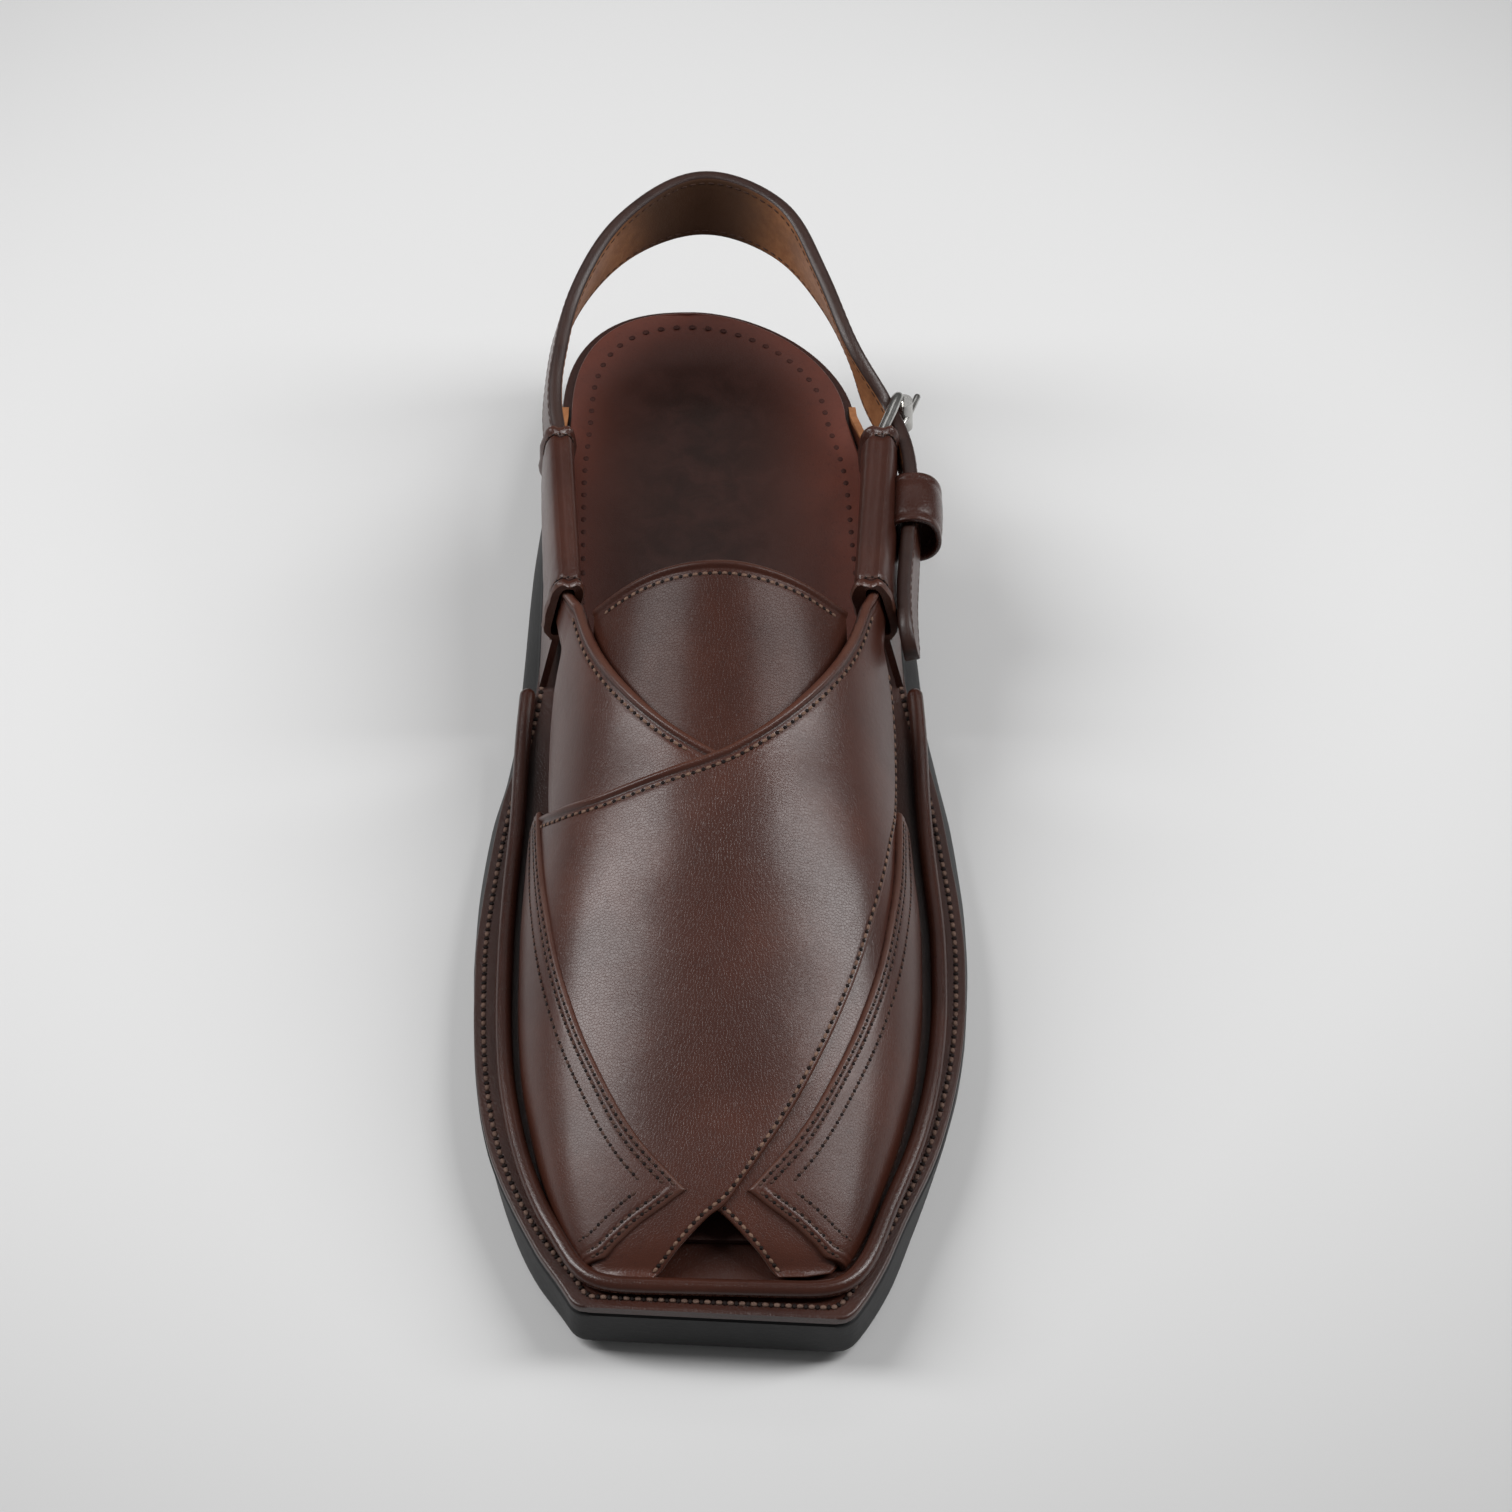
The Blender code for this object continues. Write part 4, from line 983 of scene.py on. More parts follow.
# A piece of leather over a surface. Distances from its edges carve its relief:
# relief(dBack, dFront, dStart, dEnd) gives the lift over the flat leather.
def makeSheet(name, surface, inner, outer, material, nodes, relief=None, rows=150,
              start=0.0, end=1.0, middle=22, nearZone=None, wear=0.5, columnZone=None,
              shadeAt=None):
    fineZone = columnZone if columnZone is not None else np.concatenate(
        (rimSteps, np.arange(1.35, 6.4, 0.35) * mm))
    rowZone = nearZone if nearZone is not None else rimSteps
    half = (outer - inner) / 2
    mid = (outer + inner) / 2
    sample = np.linspace(start, end, 300)
    spine = surface(sample, 0 * sample + 0.5, 0 * sample + mid)
    run = lengths(spine)
    stops = spacing(run[-1], rowZone, rowZone, rows)
    us = np.interp(stops, run, sample)
    vSample = np.linspace(0, 1, 48)
    U, V = np.meshgrid(us, vSample, indexing="ij")
    lines = surface(U, V, 0 * U + mid)
    backD, frontD, vs = [], [], []
    widest = 0
    for i in range(len(us)):
        cross = lengths(lines[i])
        stations = spacing(cross[-1], fineZone, fineZone, middle)
        widest = max(widest, len(stations))
        backD.append((cross, stations))
    count = widest
    D0 = np.zeros((len(us), count))
    D1 = np.zeros_like(D0)
    VV = np.zeros_like(D0)
    for i, (cross, stations) in enumerate(backD):
        total = cross[-1]
        if len(stations) < count:
            stations = np.interp(np.linspace(0, 1, count), np.linspace(0, 1, len(stations)), stations)
        D0[i] = stations
        D1[i] = total - stations
        VV[i] = np.interp(stations, cross, vSample)
    UU = np.repeat(us[:, None], count, 1)
    S0 = np.repeat(stops[:, None], count, 1)
    S1 = run[-1] - S0
    near = np.minimum(np.minimum(D0, D1), np.minimum(S0, S1))
    ease = min(1.0 * mm, half)
    bulge = half * np.sqrt(np.clip(1 - (1 - np.clip(near / ease, 0, 1)) ** 2, 0, 1))
    extra = relief(D0, D1, S0, S1) if relief else 0 * near
    extra = extra * np.clip(near / (0.3 * mm), 0, 1)
    flat = surface(UU, VV, mid + bulge)
    extra = extra + wave["height"] * ramp(near / (6 * mm)) * (
        np.sin(wave["across"] * flat[..., 0] + 2.0 * np.sin(wave["along"] * 0.6 * flat[..., 1]))
        * np.sin(wave["along"] * flat[..., 1] + 1.3))
    top = surface(UU, VV, mid + bulge + extra)
    bottom = surface(UU, VV, mid - bulge)
    worn = wear * np.exp(-((near - 0.35 * mm) / (0.55 * mm)) ** 2)
    dark = 0 * near if shadeAt is None else shadeAt(D0, D1, S0, S1)
    points = np.concatenate((top, bottom[:, ::-1][:, 1:]), 1)
    marks = {
        "wear": np.concatenate((worn, (0 * worn)[:, ::-1][:, 1:]), 1),
        "shade": np.concatenate((dark, (0 * worn + 0.6)[:, ::-1][:, 1:]), 1),
    }
    bm = gridMesh(points, marks, weld=2e-6)
    addPiece(name, bm, material, nodes)
    return {"surface": surface, "us": us, "stops": stops, "run": run[-1], "outer": outer,
            "vSample": vSample, "mid": mid}


# Even places along a row of stitches at a distance from an edge.
def seamOn(sheet, edge, distance, pitch, first=0.0, last=1.0, sink=0.12 * mm, count=260):
    surface = sheet["surface"]
    if edge in ("back", "front"):
        us = np.linspace(first, last, count)
        vs = np.empty(count)
        for i, u in enumerate(us):
            cross = lengths(surface(np.full(48, u), sheet["vSample"], np.full(48, sheet["mid"])))
            at = distance if edge == "back" else cross[-1] - distance
            vs[i] = np.interp(at, cross, sheet["vSample"])
    else:
        vs = np.linspace(first, last, count)
        us = np.empty(count)
        sample = np.linspace(0, 1, 120)
        for i, v in enumerate(vs):
            run = lengths(surface(sample, np.full(120, v), np.full(120, sheet["mid"])))
            at = distance if edge == "start" else run[-1] - distance
            us[i] = np.interp(at, run, sample)
    low = surface(us, vs, np.full(count, sheet["outer"] - sink))
    high = surface(us, vs, np.full(count, sheet["outer"] - sink + 1 * mm))
    both = np.concatenate((low, (high - low) / mm), 1)
    run = lengths(low)
    wanted = np.linspace(0, run[-1], max(2, int(round(run[-1] / pitch)) + 1))
    even = np.stack([np.interp(wanted, run, both[:, k]) for k in range(6)], 1)
    return even[:, :3], even[:, 3:]


def groove(distance, at, wide, deep):
    return -deep * np.exp(-((distance - at) / wide) ** 2)


strapEdge = {
    "ridge": 0.42 * mm,
    "ridgeAt": 1.05 * mm,
    "ridgeWide": 0.75 * mm,
    "groove": 2.2 * mm,
    "seam": 3.4 * mm,
    "pitch": 2.35 * mm,
}


def strapRelief(back, front, first, last):
    e = strapEdge
    ridge = e["ridge"] * np.exp(-((back - e["ridgeAt"]) / e["ridgeWide"]) ** 2)
    cut = groove(back, e["groove"], 0.42 * mm, 0.30 * mm)
    seam = groove(back, e["seam"], 0.55 * mm, 0.13 * mm)
    frontSeam = groove(front, 1.5 * mm, 0.5 * mm, 0.12 * mm)
    return ridge + cut + seam + frontSeam


def strapShade(back, front, first, last):
    return 0.75 * np.exp(-((back - strapEdge["groove"]) / (0.35 * mm)) ** 2)


underMiddle = leatherThick / 2
overMiddle = overlap + leatherThick / 2
underStrap = makeSheet("underStrap", strapSurface(-1, underMiddle), 0.0, leatherThick,
                       vampLeather, ["upper"], strapRelief, start=-1.0, shadeAt=strapShade)
overStrap = makeSheet("overStrap", strapSurface(1, overMiddle), overlap, overlap + leatherThick,
                      vampLeather, ["upper"], strapRelief, start=-1.0, shadeAt=strapShade)

wingEdge = {"seams": [1.3 * mm, 2.75 * mm], "line": 5.9 * mm, "pitch": 2.1 * mm}


def wingRelief(back, front, first, last):
    inner = np.minimum(back, last)
    lift = 0.10 * mm * np.exp(-((inner - 2.0 * mm) / (0.5 * mm)) ** 2)
    for at in wingEdge["seams"]:
        lift = lift + groove(inner, at, 0.42 * mm, 0.12 * mm)
    return lift


wingZone = np.concatenate((rimSteps, np.arange(1.35, 6.9, 0.35) * mm))
wingInnerLift = overlap + leatherThick / 2
wingMedial = makeSheet("wingMedial", wingSurface(-1), wingInnerLift,
                       overlap + leatherThick + wingStand, wingLeather, ["upper"],
                       wingRelief, rows=110, middle=18, nearZone=wingZone, columnZone=wingZone)
wingLateral = makeSheet("wingLateral", wingSurface(1), leatherThick / 2,
                        overlap + leatherThick + wingStand / 2, wingLeather, ["upper"],
                        wingRelief, rows=110, middle=18, nearZone=wingZone, columnZone=wingZone)


def tongueRelief(back, front, first, last):
    roll = 0.45 * mm * np.exp(-((first - 1.0 * mm) / (0.85 * mm)) ** 2)
    return roll + groove(first, 2.3 * mm, 0.4 * mm, 0.2 * mm) + groove(first, 3.4 * mm, 0.5 * mm, 0.1 * mm)


tongue = makeSheet("tonguePiece", tongueSurface, -tongueShape["below"] - tongueShape["thick"],
                   -tongueShape["below"], tongueLeather, ["tongue"], tongueRelief, rows=60,
                   middle=50, nearZone=wingZone, columnZone=rimSteps)
print("upper made")

seams = [
    seamOn(underStrap, "back", strapEdge["seam"], strapEdge["pitch"], 0.0, 0.42),
    seamOn(overStrap, "back", strapEdge["seam"], strapEdge["pitch"], 0.0, 0.98),
    seamOn(overStrap, "front", 1.5 * mm, strapEdge["pitch"], 0.03, 0.99),
    seamOn(underStrap, "front", 1.5 * mm, strapEdge["pitch"], 0.84, 0.99),
    seamOn(tongue, "start", 3.4 * mm, 2.2 * mm, 0.06, 0.94),
]
addSeam("strapStitches", seams, tanThread, 0.85 * mm, 0.56 * mm)


# Rows on a wing run along its inner edge and turn the corner along its toe edge.
def wingSeams(wing):
    rows = []
    for distance in wingEdge["seams"] + [wingEdge["line"]]:
        lastU = 1 - distance / wing["run"]
        sink = 0.0 if distance == wingEdge["line"] else 0.10 * mm
        rows.append(seamOn(wing, "back", distance, wingEdge["pitch"], 0.02, lastU, sink))
        rows.append(seamOn(wing, "end", distance, wingEdge["pitch"], distance / (30 * mm), 0.86, sink))
    return rows


addSeam("wingStitches", wingSeams(wingMedial) + wingSeams(wingLateral), brownThread,
        0.74 * mm, 0.48 * mm, 0.56)
print("seams made")


# --- the bead round the feather line


bead = {
    "radius": 1.9 * mm,
    "start": 0.425,
    "turn": 0.915,
    "sides": 18,
    "toe": [(33.3, -231.0), (31.4, -235.0), (29.5, -238.4), (27.0, -240.8), (23.3, -241.6),
            (12.0, -241.7)],  # across and along, in mm
}


def beadPath():
    clear = overlap + leatherThick + wingStand + sole["gap"] + bead["radius"]
    columns = []
    for side in (-1, 1):
        name = "medial" if side < 0 else "lateral"
        share = np.linspace(bead["start"], bead["turn"], 40)
        wide = readTable(feather, name, share) * sole["ballWidth"] + clear + 0.5 * weltGrow(share)
        corner = np.array(bead["toe"]) * mm
        x = side * np.concatenate((wide, corner[:, 0]))
        y = np.concatenate((soleY(share), corner[:, 1] - 0.03 * side * corner[:, 0]))
        z = seatHeight(soleShare(y)) + sole["gap"] + bead["radius"]
        columns.append(np.stack((x, y, z), 1))
    return catmull(np.concatenate((columns[0], columns[1][::-1])), 6)


path = evenly(beadPath(), 1.9 * mm)
for turn in range(8):  # no kink where the corners start
    path[1:-1] = 0.5 * path[1:-1] + 0.25 * (path[:-2] + path[2:])
path, radii = roundEnds(path, bead["radius"])
addPiece("beadCord", gridMesh(barPoints(path, radii, bead["sides"])), beadLeather, ["bead"])
print("bead made")


# --- side tabs with their sleeves


tabShape = {"mouthRing": 0.85 * mm, "mouthWide": 1.5 * mm, "stations": 70}
sleeveHalf = (sling["thick"] + sleeve["slotPlay"]) / 2 + sleeve["wall"]
tabLow = sleeve["top"] - 2 * sleeve["wall"] - sleeve["slotHeight"]


# Half of a tab's section from its foot up: half width, rise over the web, height over it.
def tabHalf():
    web = sleeve["tabThick"] / 2
    rows = [(web, t, None) for t in (0.0, 0.12, 0.3, 0.5, 0.7, 0.88, 1.0)]
    for width, height in ((1.25, 38.6), (2.0, 39.6), (2.8, 40.9), (3.3, 42.6), (3.55, 44.6),
                          (3.6, 47.0), (3.62, 49.5), (3.6, 51.6), (3.48, 53.4), (3.2, 55.0),
                          (2.75, 56.4), (2.2, 57.3), (1.6, 57.65), (0.95, 57.35), (0.3, 56.9)):
        rows.append((width * mm, None, height * mm))
    return rows


def makeTab(name, side, node):
    lengthStops = np.concatenate(([0, 0.3, 0.8, 1.4, 2.0, 2.6, 3.2, 3.8, 4.6],
                                  np.linspace(6, 43.8, 30), [45.2, 46.0, 46.6, 47.2, 47.8, 48.4,
                                                            49.0, 49.5, 49.8])) * mm
    stations = lengthStops / sleeve["length"]
    half = tabHalf()

    def column(width, webRise, height, sign, stations):
        rise = 1.0 if webRise is None else webRise
        rear = -sleeve["rear"] + (1 - rise) * sleeve["heelReach"]
        y = mix(rear, -sleeve["rear"] - sleeve["length"], stations)
        foot = seatHeight(soleShare(y)) + sole["gap"]
        z = 0 * y + height if webRise is None else mix(foot, tabLow, webRise)
        fromMouth = np.minimum(stations, 1 - stations) * sleeve["length"]
        ring = tabShape["mouthRing"] * (np.exp(-((fromMouth - 0.9 * mm) / (0.8 * mm)) ** 2)
                                        - 0.7 * np.exp(-((fromMouth - 2.6 * mm) / (0.5 * mm)) ** 2))
        upper = 0.0 if webRise is not None else min(1.0, width / (3.3 * mm))
        crease = 0.16 * mm * np.sin(stations * 41 + z * 900 + side) * np.exp(-fromMouth / (7 * mm))
        grow = (ring * 0.8 + crease) * upper
        top = ring * 0.6 if webRise is None and height > 55 * mm else 0.0 * y
        if side > 0 and sign < 0 and webRise is None:
            width = width * 1.38
        return np.stack((tabCentre(side, y, z) + sign * (width + grow), y, z + top), -1)

    outer = [column(w, r, z, -1, stations) for w, r, z in half]
    outer += [column(w, r, z, 1, stations) for w, r, z in half[::-1]]
    outer.append(outer[0])
    outer = np.stack(outer, 1)
    slotHalf = (sling["thick"] + sleeve["slotPlay"]) / 2
    slot = []
    turns = np.linspace(0, 2 * np.pi, 37)
    for t in turns:
        across = math.copysign(abs(math.cos(t)) ** 0.6, math.cos(t)) * slotHalf
        up = slotMiddle + math.copysign(abs(math.sin(t)) ** 0.45, math.sin(t)) * sleeve["slotHeight"] / 2
        y = mix(-sleeve["rear"], -sleeve["rear"] - sleeve["length"], stations)
        slot.append(np.stack((tabCentre(side, y, up) + across, y, 0 * y + up), -1))
    slot = np.stack(slot, 1)
    bm = gridMesh(outer)
    inside = gridMesh(slot)
    spare = bpy.data.meshes.new("slot")
    inside.to_mesh(spare)
    inside.free()
    bm.from_mesh(spare)
    bpy.data.meshes.remove(spare)
    rims = {}
    for edge in bm.edges:
        if edge.is_boundary:
            atFront = sum(v.co.y for v in edge.verts) / 2 < -sleeve["rear"] - sleeve["length"] + 0.3 * mm
            rims.setdefault(atFront, []).append(edge)
    for edges in rims.values():
        bmesh.ops.triangle_fill(bm, use_beauty=True, use_dissolve=False, edges=edges)
    bmesh.ops.recalc_face_normals(bm, faces=bm.faces[:])
    wearLayer = bm.verts.layers.float.new("wear")
    cutLayer = bm.verts.layers.float.new("lining")
    for vert in bm.verts:
        foot = float(seatHeight(soleShare(np.array(vert.co.y)))) + sole["gap"]
        back = -sleeve["rear"] + (1 - (vert.co.z - foot) / (tabLow - foot)) * sleeve["heelReach"]
        if vert.co.z < tabLow and back - vert.co.y < 2.6 * mm:
            vert[cutLayer] = 1.0
        fromMouth = min(-sleeve["rear"] - vert.co.y, vert.co.y + sleeve["rear"] + sleeve["length"])
        if vert.co.z > tabLow:
            vert[wearLayer] = 0.8 * math.exp(-(fromMouth / (0.5 * mm)) ** 2)
    return addPiece(name, bm, tabLeather, [node], sharp=50)


makeTab("tabMedial", -1, "tab_medial")
makeTab("tabLateral", 1, "tab_lateral")


# A row of stitches along a tab, on its inner or outer face.
def tabSeam(side, height, face, first, last, pitch):
    stations = np.linspace(first, last, 60)
    y = mix(-sleeve["rear"], -sleeve["rear"] - sleeve["length"], stations)
    z = 0 * y + height
    x = tabCentre(side, y, z) + face * (sleeve["tabThick"] / 2 - 0.08 * mm)
    line = np.stack((x, y, z), 1)
    normal = np.array([[float(face), 0.0, 0.15]])
    return withNormals(evenly(line, pitch), normal)


rows = []
for side in (-1, 1):
    for face in (-1, 1):
        rows.append(tabSeam(side, 36.2 * mm, face, 0.02, 0.98, 2.4 * mm))
addSeam("tabStitches", rows, brownThread)

rows = []
for side in (-1, 1):
    for at in (2.6 * mm, sleeve["length"] - 2.6 * mm):
        y = -sleeve["rear"] - at
        arc = []
        for width, height in ((-3.45, 50.0), (-3.4, 53.2), (-3.1, 55.6), (-2.4, 57.1), (-1.3, 57.7),
                              (0.0, 57.5), (1.3, 57.7), (2.4, 57.1), (3.1, 55.6), (3.4, 53.2),
                              (3.45, 50.0)):
            z = height * mm
            arc.append((float(tabCentre(side, y, z)) + width * mm, y, z))
        arc = catmull(arc, 8)
        even = evenly(arc, 1.7 * mm)
        centre = np.array([float(tabCentre(side, y, 51 * mm)), y, 51 * mm])
        normals = even - centre
        normals /= np.linalg.norm(normals, axis=1)[:, None]
        rows.append((even, normals))
addSeam("mouthStitches", rows, brownThread, 0.55 * mm, 0.4 * mm)
print("tabs made")


# --- heel strap


slingPath = {
    "across": [-0.383, -0.381, -0.346, -0.232, -0.051, 0.128, 0.233, 0.304],
    "along": [0.14, 0.31, 0.6, 0.87, 1.015, 0.9, 0.64, 0.36],
    "rise": [0.62, 0.69, 0.81, 0.95, 1.02, 0.985, 0.89, 0.775],
    "wide": [1.0, 1.0, 1.0, 1.08, 1.18, 1.12, 1.0, 0.84],
    "lean": [8.0, 11.0, 15.0, 6.0, -9.0, -6.0, 10.0, 15.0],
}
tailPath = {
    "along": [-0.27, -0.13, 0.03, 0.2, 0.4, 0.62, 0.85, 1.04, 1.17],
    "stand": [-0.8, 0.02, 0.6, 0.95, 1.0, 0.85, 0.7, 0.75, 0.85],
    "drop": [-0.03, 0.0, 0.0, 0.02, 0.06, 0.12, 0.2, 0.28, 0.36],
    "wide": [0.68, 0.67, 0.67, 0.68, 0.68, 0.72, 0.76, 0.76, 0.7],
}


# Rows of middle, width and up direction along the heel strap and its tail.
def slingRows():
    rows = []
    for depth in (1.0, 0.45, 0.0):
        y = -sleeve["rear"] - depth * sling["reachIn"]
        middle = (float(tabCentre(-1, y, slotMiddle)), y, slotMiddle)
        rows.append((*middle, sling["width"], *slotLean(-1, y)))
    seat = float(seatHeight(np.array(sole["heelRound"])))
    apex = sole["heelApex"] * sole["ballWidth"]
    for i in range(len(slingPath["along"])):
        x = slingPath["across"][i] * sole["ballWidth"]
        y = -sleeve["rear"] + slingPath["along"][i] * sling["length"]
        z = seat + slingPath["rise"][i] * sling["rise"]
        inward = Vector((apex - x, -y, 0.0)).normalized()
        lean = math.radians(slingPath["lean"][i])
        up = Vector((0, 0, math.cos(lean))) + inward * math.sin(lean)
        rows.append((x, y, z, slingPath["wide"][i] * sling["width"], *up))
    for i in range(len(tailPath["along"])):
        y = -sleeve["rear"] - tailPath["along"][i] * sling["tail"]
        z = slotMiddle - tailPath["drop"][i] * sling["width"]
        near = max(y, -sleeve["rear"] - sleeve["length"])
        x = float(tabCentre(1, near, z)) + sleeveHalf + tailPath["stand"][i] * sling["thick"]
        rows.append((x, y, z, tailPath["wide"][i] * sling["width"], *slotLean(1, near)))
    return np.array(rows)


def bandFrames(rows):
    centre = rows[:, :3]
    wide = rows[:, 3]
    up = rows[:, 4:] / np.linalg.norm(rows[:, 4:], axis=1)[:, None]
    ahead = np.gradient(centre, axis=0)
    ahead /= np.linalg.norm(ahead, axis=1)[:, None]
    out = np.cross(up, ahead)
    out /= np.linalg.norm(out, axis=1)[:, None]
    rise = np.cross(ahead, out)
    return centre, wide, out, rise


# Section of the heel strap: share across its thickness and along its width, both from -1 to 1.
def bandSection(count, square=0.28, sides=0.22):
    turns = np.linspace(0, 2 * np.pi, count + 1)
    across = np.sign(np.cos(turns)) * np.abs(np.cos(turns)) ** square
    along = np.sign(np.sin(turns)) * np.abs(np.sin(turns)) ** sides
    return across, along


denseRows = catmull(slingRows(), 14)
for turn in range(9):  # the leather bends in one even sweep
    denseRows[1:-1] = 0.5 * denseRows[1:-1] + 0.25 * (denseRows[:-2] + denseRows[2:])
centre, wide, out, rise = bandFrames(denseRows)
run = lengths(centre)
fromStart = run
fromEnd = run[-1] - run
noseEase = 8.0 * mm
tip = np.sqrt(np.clip(1 - (1 - np.clip(fromEnd / noseEase, 0, 1)) ** 2, 0, 1))
tip = np.where(fromEnd < noseEase, 0.25 + 0.75 * tip, 1.0)
turns = np.linspace(0, 1, 20)
faceHalf = sling["thick"] / 2
rimStops = np.array([1.0, 0.994, 0.975, 0.94, 0.89])
bandStops = np.concatenate((-rimStops, np.linspace(-0.8, 0.8, 17), rimStops[::-1]))
section = []
for sign in (1, -1):
    for w in bandStops[:: sign]:
        edge = 1 - abs(w)
        easeShare = 0.14
        bulge = math.sqrt(max(0.0, 1 - (1 - min(edge / easeShare, 1)) ** 2))
        seamDip = 0.09 * math.exp(-((abs(w) - 0.78) / 0.05) ** 2)
        section.append((sign * (bulge * (1 - seamDip)), w))
section.append(section[0])
ringPoints, lining, worn, dark = [], [], [], []
for across, along in section:
    reach = along * wide / 2 * tip
    ringPoints.append(centre + out * (across * faceHalf)[..., None] if np.ndim(across) else
                      centre + out * (across * faceHalf) + rise * reach[:, None])
    lining.append(np.where(fromEnd > 52 * mm, 1.0 if across < 0 and abs(along) < 0.9 else 0.0, 0.0))
    worn.append(np.full(len(centre), 0.5 * math.exp(-((1 - abs(along)) / 0.05) ** 2)))
    dark.append(np.full(len(centre), 0.9 if abs(along) > 0.9 and across < 0.9 else 0.0))
points = np.stack(ringPoints, 1)
marks = {"lining": np.stack(lining, 1), "wear": np.stack(worn, 1) * 0.4, "shade": np.stack(dark, 1)}
bm = gridMesh(points, marks, cap=True)
addPiece("heelStrap", bm, strapLeather, ["heel_strap"], sharp=60)


def bandSeam(first, last, along, face, pitch):
    keep = (run >= first) & (run <= last)
    line = centre[keep] + rise[keep] * (along * wide[keep] / 2)[:, None] + out[keep] * (
        face * (faceHalf * 0.97))
    both = np.concatenate((line, out[keep] * face), 1)
    length = lengths(line)
    wanted = np.linspace(0, length[-1], max(2, int(round(length[-1] / pitch)) + 1))
    even = np.stack([np.interp(wanted, length, both[:, k]) for k in range(6)], 1)
    return even[:, :3], even[:, 3:]


inSleeve = 25 * mm
bandRows = []
for along in (-0.78, 0.78):
    for face in (-1, 1):
        bandRows.append(bandSeam(inSleeve, run[-1] - 3 * mm, along, face, 2.3 * mm))
addStitches("bandStitches", bandRows, brownThread, 0.5 * mm, 0.18 * mm)
print("heel strap made")


# --- buckle, prong and keeper


buckle = {
    "wire": 1.35 * mm,
    "height": 16.0 * mm,
    "length": 13.0 * mm,
    "setIn": 5.0 * mm,
    "splay": 4.4 * mm,
    "prong": 0.85 * mm,
    "roller": 2.1 * mm,
    "rollerOut": 1.3 * mm,
}


def bucklePoint(along, rise):
    hinge = -sleeve["rear"] - buckle["setIn"]
    y = hinge + along * (buckle["setIn"] + buckle["length"])
    up = slotLean(1, hinge)
    spread = max(0.0, (y + sleeve["rear"]) / buckle["length"]) * buckle["splay"]
    middle = np.array([float(tabCentre(1, hinge, slotMiddle)) + spread, y, slotMiddle])
    return middle + up * (rise * (buckle["height"] / 2 - buckle["wire"]))


corners = [(0.12, -1), (0.28, -1), (0.6, -1), (0.86, -1), (0.96, -0.95), (1.0, -0.8), (1.0, -0.4),
           (1.0, 0), (1.0, 0.4), (1.0, 0.8), (0.96, 0.95), (0.86, 1), (0.6, 1), (0.28, 1), (0.12, 1),
           (0.03, 0.93), (0.0, 0.75), (0.0, 0.3), (0.0, -0.3), (0.0, -0.75), (0.03, -0.93)]
loop = np.array([bucklePoint(*corner) for corner in corners])
loop = catmull(np.concatenate((loop, loop[:1])), 6)[:-1]
addPiece("buckleFrame", gridMesh(barPoints(loop, buckle["wire"], 14, True, (1, 0, 0.2))),
         buckleNickel, ["buckle_frame"])

bar = np.array([bucklePoint(1.0, t) for t in np.linspace(-0.68, 0.68, 9)])
bar[:, 0] += buckle["rollerOut"]
ends = barPoints(bar, buckle["roller"], 20, up=(1, 0, 0))
addPiece("buckleRoller", gridMesh(ends, cap=True), buckleNickel, sharp=40)

reach = buckle["setIn"] + buckle["length"]
over = buckle["wire"] + sole["gap"] + buckle["prong"]
prongPlaces = ((over / reach, 0.0), (0.3, 0.0), (0.6, 0.25), (0.85, 0.85), (1.0, 1.0), (1.3, 1.1))
prongLine = np.array([bucklePoint(along, 0.0) + np.array([rise * over, 0, 0])
                      for along, rise in prongPlaces])
path, radii = roundEnds(catmull(prongLine, 7), buckle["prong"])
addPiece("bucklePin", gridMesh(barPoints(path, radii, 14)), buckleNickel,
         ["buckle_prong"])

keeper = {
    "width": 14.0 * mm,
    "wall": 1.3 * mm,
    "set": 19.5 * mm,
    "bulge": 3.7 * mm,
    "inner": 2.2 * mm,
    "turns": 64,
}


def rowAt(y):
    tail = (centre[:, 0] > 0) & (np.arange(len(centre)) > len(centre) * 0.6)
    rows = denseRows[tail]
    order = np.argsort(rows[:, 1])
    return np.array([np.interp(y, rows[order, 1], rows[order, k]) for k in range(7)])


def keeperRing(y, wallShare):
    row = rowAt(y)
    up = row[4:] / np.linalg.norm(row[4:])
    outward = np.array([up[2], 0.0, -up[0]])
    ring = []
    for t in np.linspace(0, 2 * np.pi, keeper["turns"] + 1):
        across, along = math.cos(t), math.sin(t)
        side = "bulge" if across > 0 else "inner"
        bulge = keeper[side] * ramp(np.array(abs(across) * 4))
        reachOut = sling["thick"] / 2 + 1.5 * sole["gap"] + wallShare * keeper["wall"] + bulge
        tall = row[3] / 2 + 4 * sole["gap"] + wallShare * keeper["wall"]
        across = math.copysign(abs(across) ** 0.85, across) * reachOut
        along = math.copysign(abs(along) ** 0.85, along) * tall
        ring.append(row[:3] + outward * across + up * along)
    ring[-1] = ring[0]
    return ring


middleY = -sleeve["rear"] - keeper["set"]
halfWide = keeper["width"] / 2
profile = [(-1.0, 0.2), (-1.0, 0.5), (-1.0, 0.8), (-0.985, 0.93), (-0.95, 1.0), (-0.8, 1.0),
           (-0.72, 0.86), (-0.64, 1.02), (-0.3, 1.08), (0.0, 1.1), (0.3, 1.08), (0.64, 1.02),
           (0.72, 0.86), (0.8, 1.0), (0.95, 1.0), (0.985, 0.93), (1.0, 0.8), (1.0, 0.5),
           (1.0, 0.2), (0.97, 0.05), (0.9, 0.0), (0.4, 0.0), (0.0, 0.0), (-0.4, 0.0), (-0.9, 0.0),
           (-0.97, 0.05), (-1.0, 0.2)]
rings = np.array([keeperRing(middleY + t * halfWide, wall) for t, wall in profile])
addPiece("keeperLoop", gridMesh(rings), keeperLeather, ["keeper"])

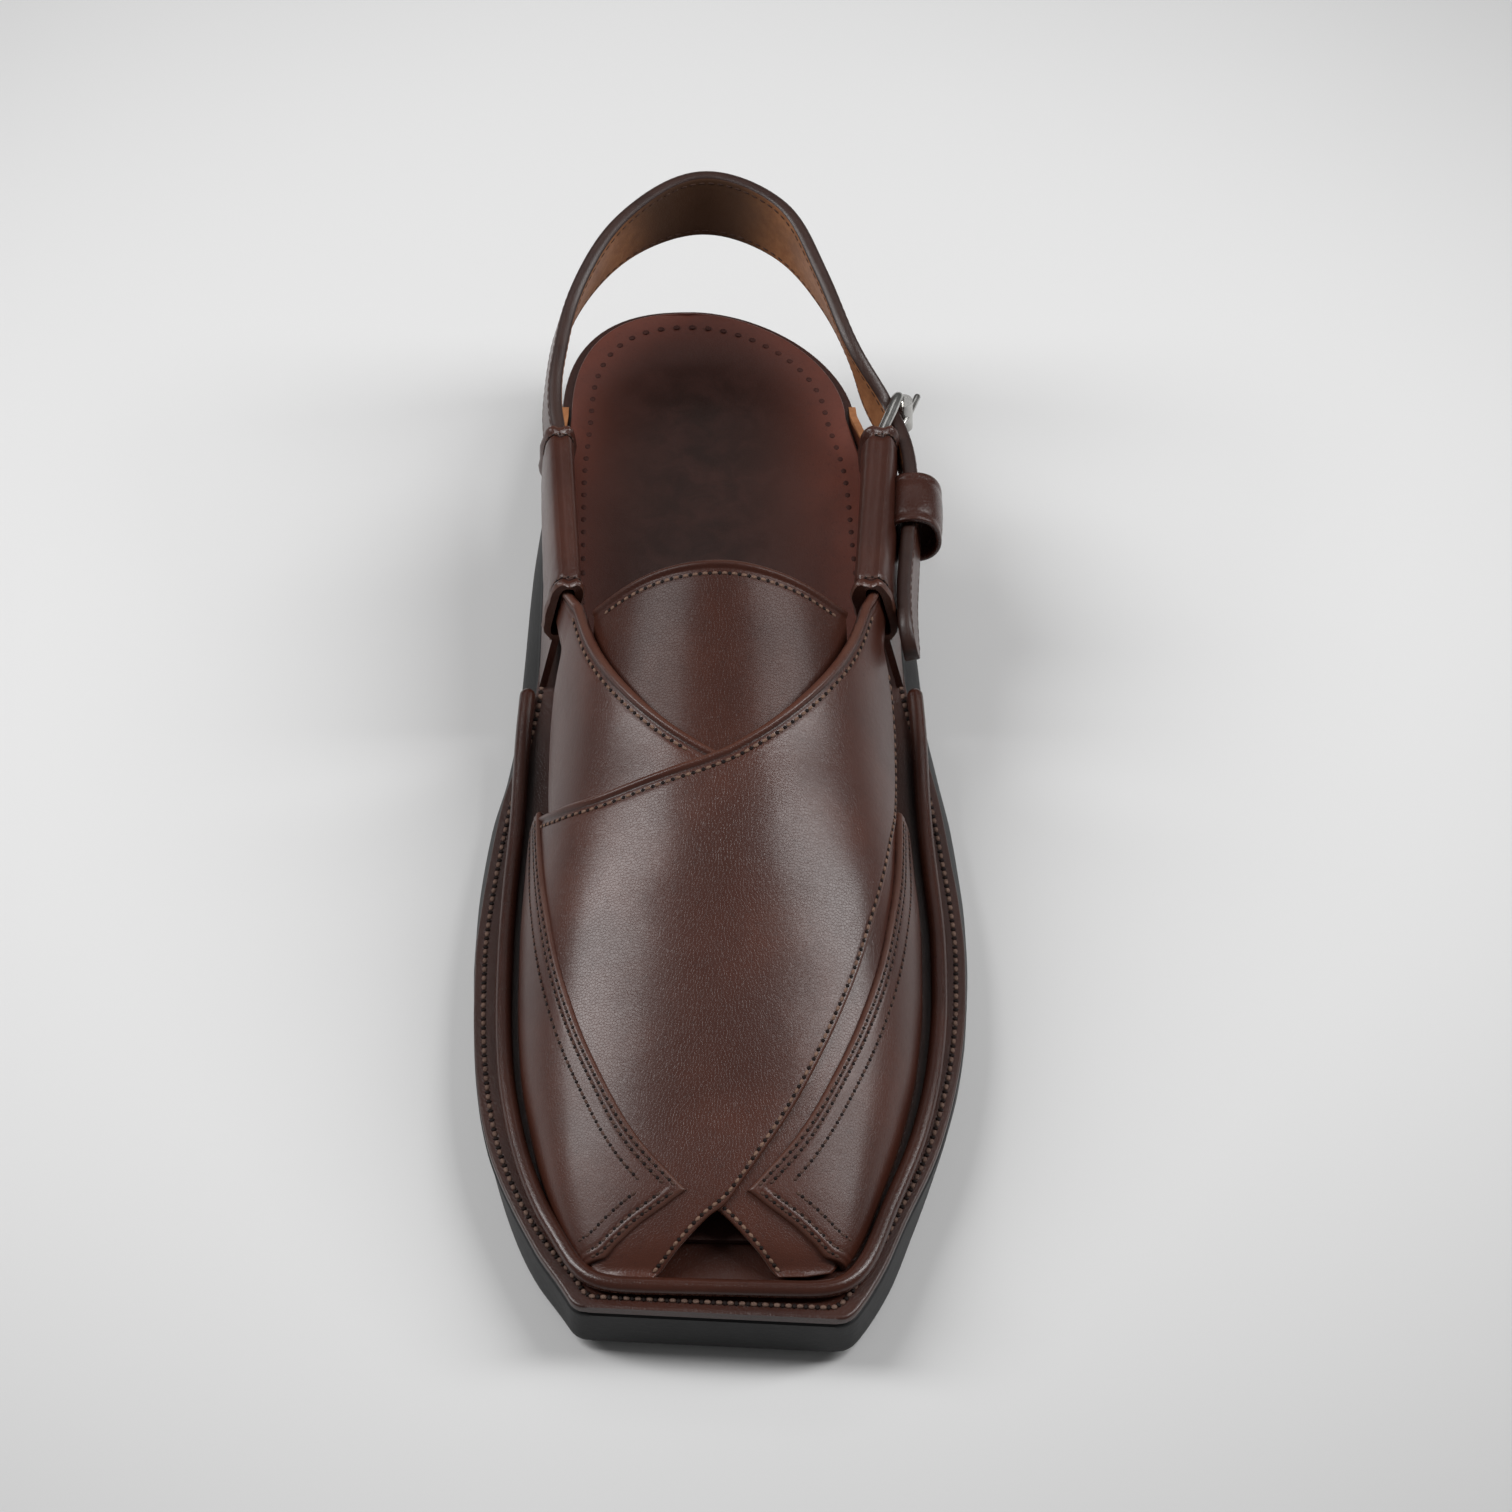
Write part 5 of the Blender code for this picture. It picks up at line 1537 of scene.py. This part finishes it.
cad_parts["buckle_strap"].data.materials.clear()
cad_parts["buckle_strap"].data.materials.append(strapLeather)
print("buckle and keeper made")


# --- floor, light and camera


studio = {
    "floor": (0.74, 0.74, 0.74),
    # painted shade: the far floor is painted darker, standing in for the lamps' light falling off
    "floorFalloffShade": (0.45, 0.45, 0.45),
    "world": 0.14,
}


def makeFloor():
    material, shader, wire, place = newMaterial("paleFloor", Roughness=0.6, Specular_IOR_Level=0.2)
    x, y, z = place.parts()
    cloud = place.noise(3.0, 2.0, 0.5)
    # Painted light falloff: the floor is painted bright near the shoe and darker towards the corners.
    away = (x + 0.02) * (x + 0.02) * 5.0 + (y + 0.02) * (y + 0.02) * 5.5 + (cloud - 0.5) * 0.12
    color = away.step(0.05, 0.85).blend(studio["floor"], studio["floorFalloffShade"])
    plug(shader, color)
    bm = bmesh.new()
    bmesh.ops.create_grid(bm, x_segments=2, y_segments=2, size=6.0)
    mesh = bpy.data.meshes.new("floor")
    bm.to_mesh(mesh)
    bm.free()
    mesh.materials.append(material)
    floor = bpy.data.objects.new("floor", mesh)
    bpy.context.scene.collection.objects.link(floor)


def addLamp(name, place, target, size, power, color=(1.0, 1.0, 1.0)):
    light = bpy.data.lights.new(name, "AREA")
    light.shape = "RECTANGLE"
    light.size, light.size_y = size
    light.energy = power
    light.color = color
    lamp = bpy.data.objects.new(name, light)
    lamp.location = place
    lamp.rotation_euler = (Vector(target) - Vector(place)).to_track_quat("-Z", "Y").to_euler()
    bpy.context.scene.collection.objects.link(lamp)


makeFloor()
addLamp("leftSoftbox", (-0.9, 0.0, 1.02), (0, -0.1, 0.03), (0.34, 1.1), 12.6)
addLamp("backSoftbox", (0.0, 1.1, 1.4), (0, 0.0, 0.03), (1.4, 0.22), 1.1)
addLamp("rightSoftbox", (0.9, 0.0, 1.02), (0, -0.1, 0.03), (0.34, 1.1), 12.6)
world = bpy.data.worlds.new("studio")
world.use_nodes = True
background = world.node_tree.nodes["Background"]
background.inputs["Color"].default_value = (1.0, 1.0, 1.0, 1.0)
background.inputs["Strength"].default_value = studio["world"]
bpy.context.scene.world = world
bpy.context.scene.view_settings.view_transform = "Standard"

view = {
    "target": Vector((0.0082, -0.0956, 0.015)),
    "distance": 0.92084,
    "elevation": math.radians(52),
    "lens": 3910 / 1512 * 36,
}
lens = bpy.data.cameras.new("photoLens")
lens.sensor_width = 36
lens.lens = view["lens"]
camera = bpy.data.objects.new("photoCamera", lens)
away = Vector((0, -math.cos(view["elevation"]), math.sin(view["elevation"])))
camera.location = view["target"] + view["distance"] * away
camera.rotation_euler = (-away).to_track_quat("-Z", "Y").to_euler()
bpy.context.scene.collection.objects.link(camera)
bpy.context.scene.camera = camera
print("studio made")
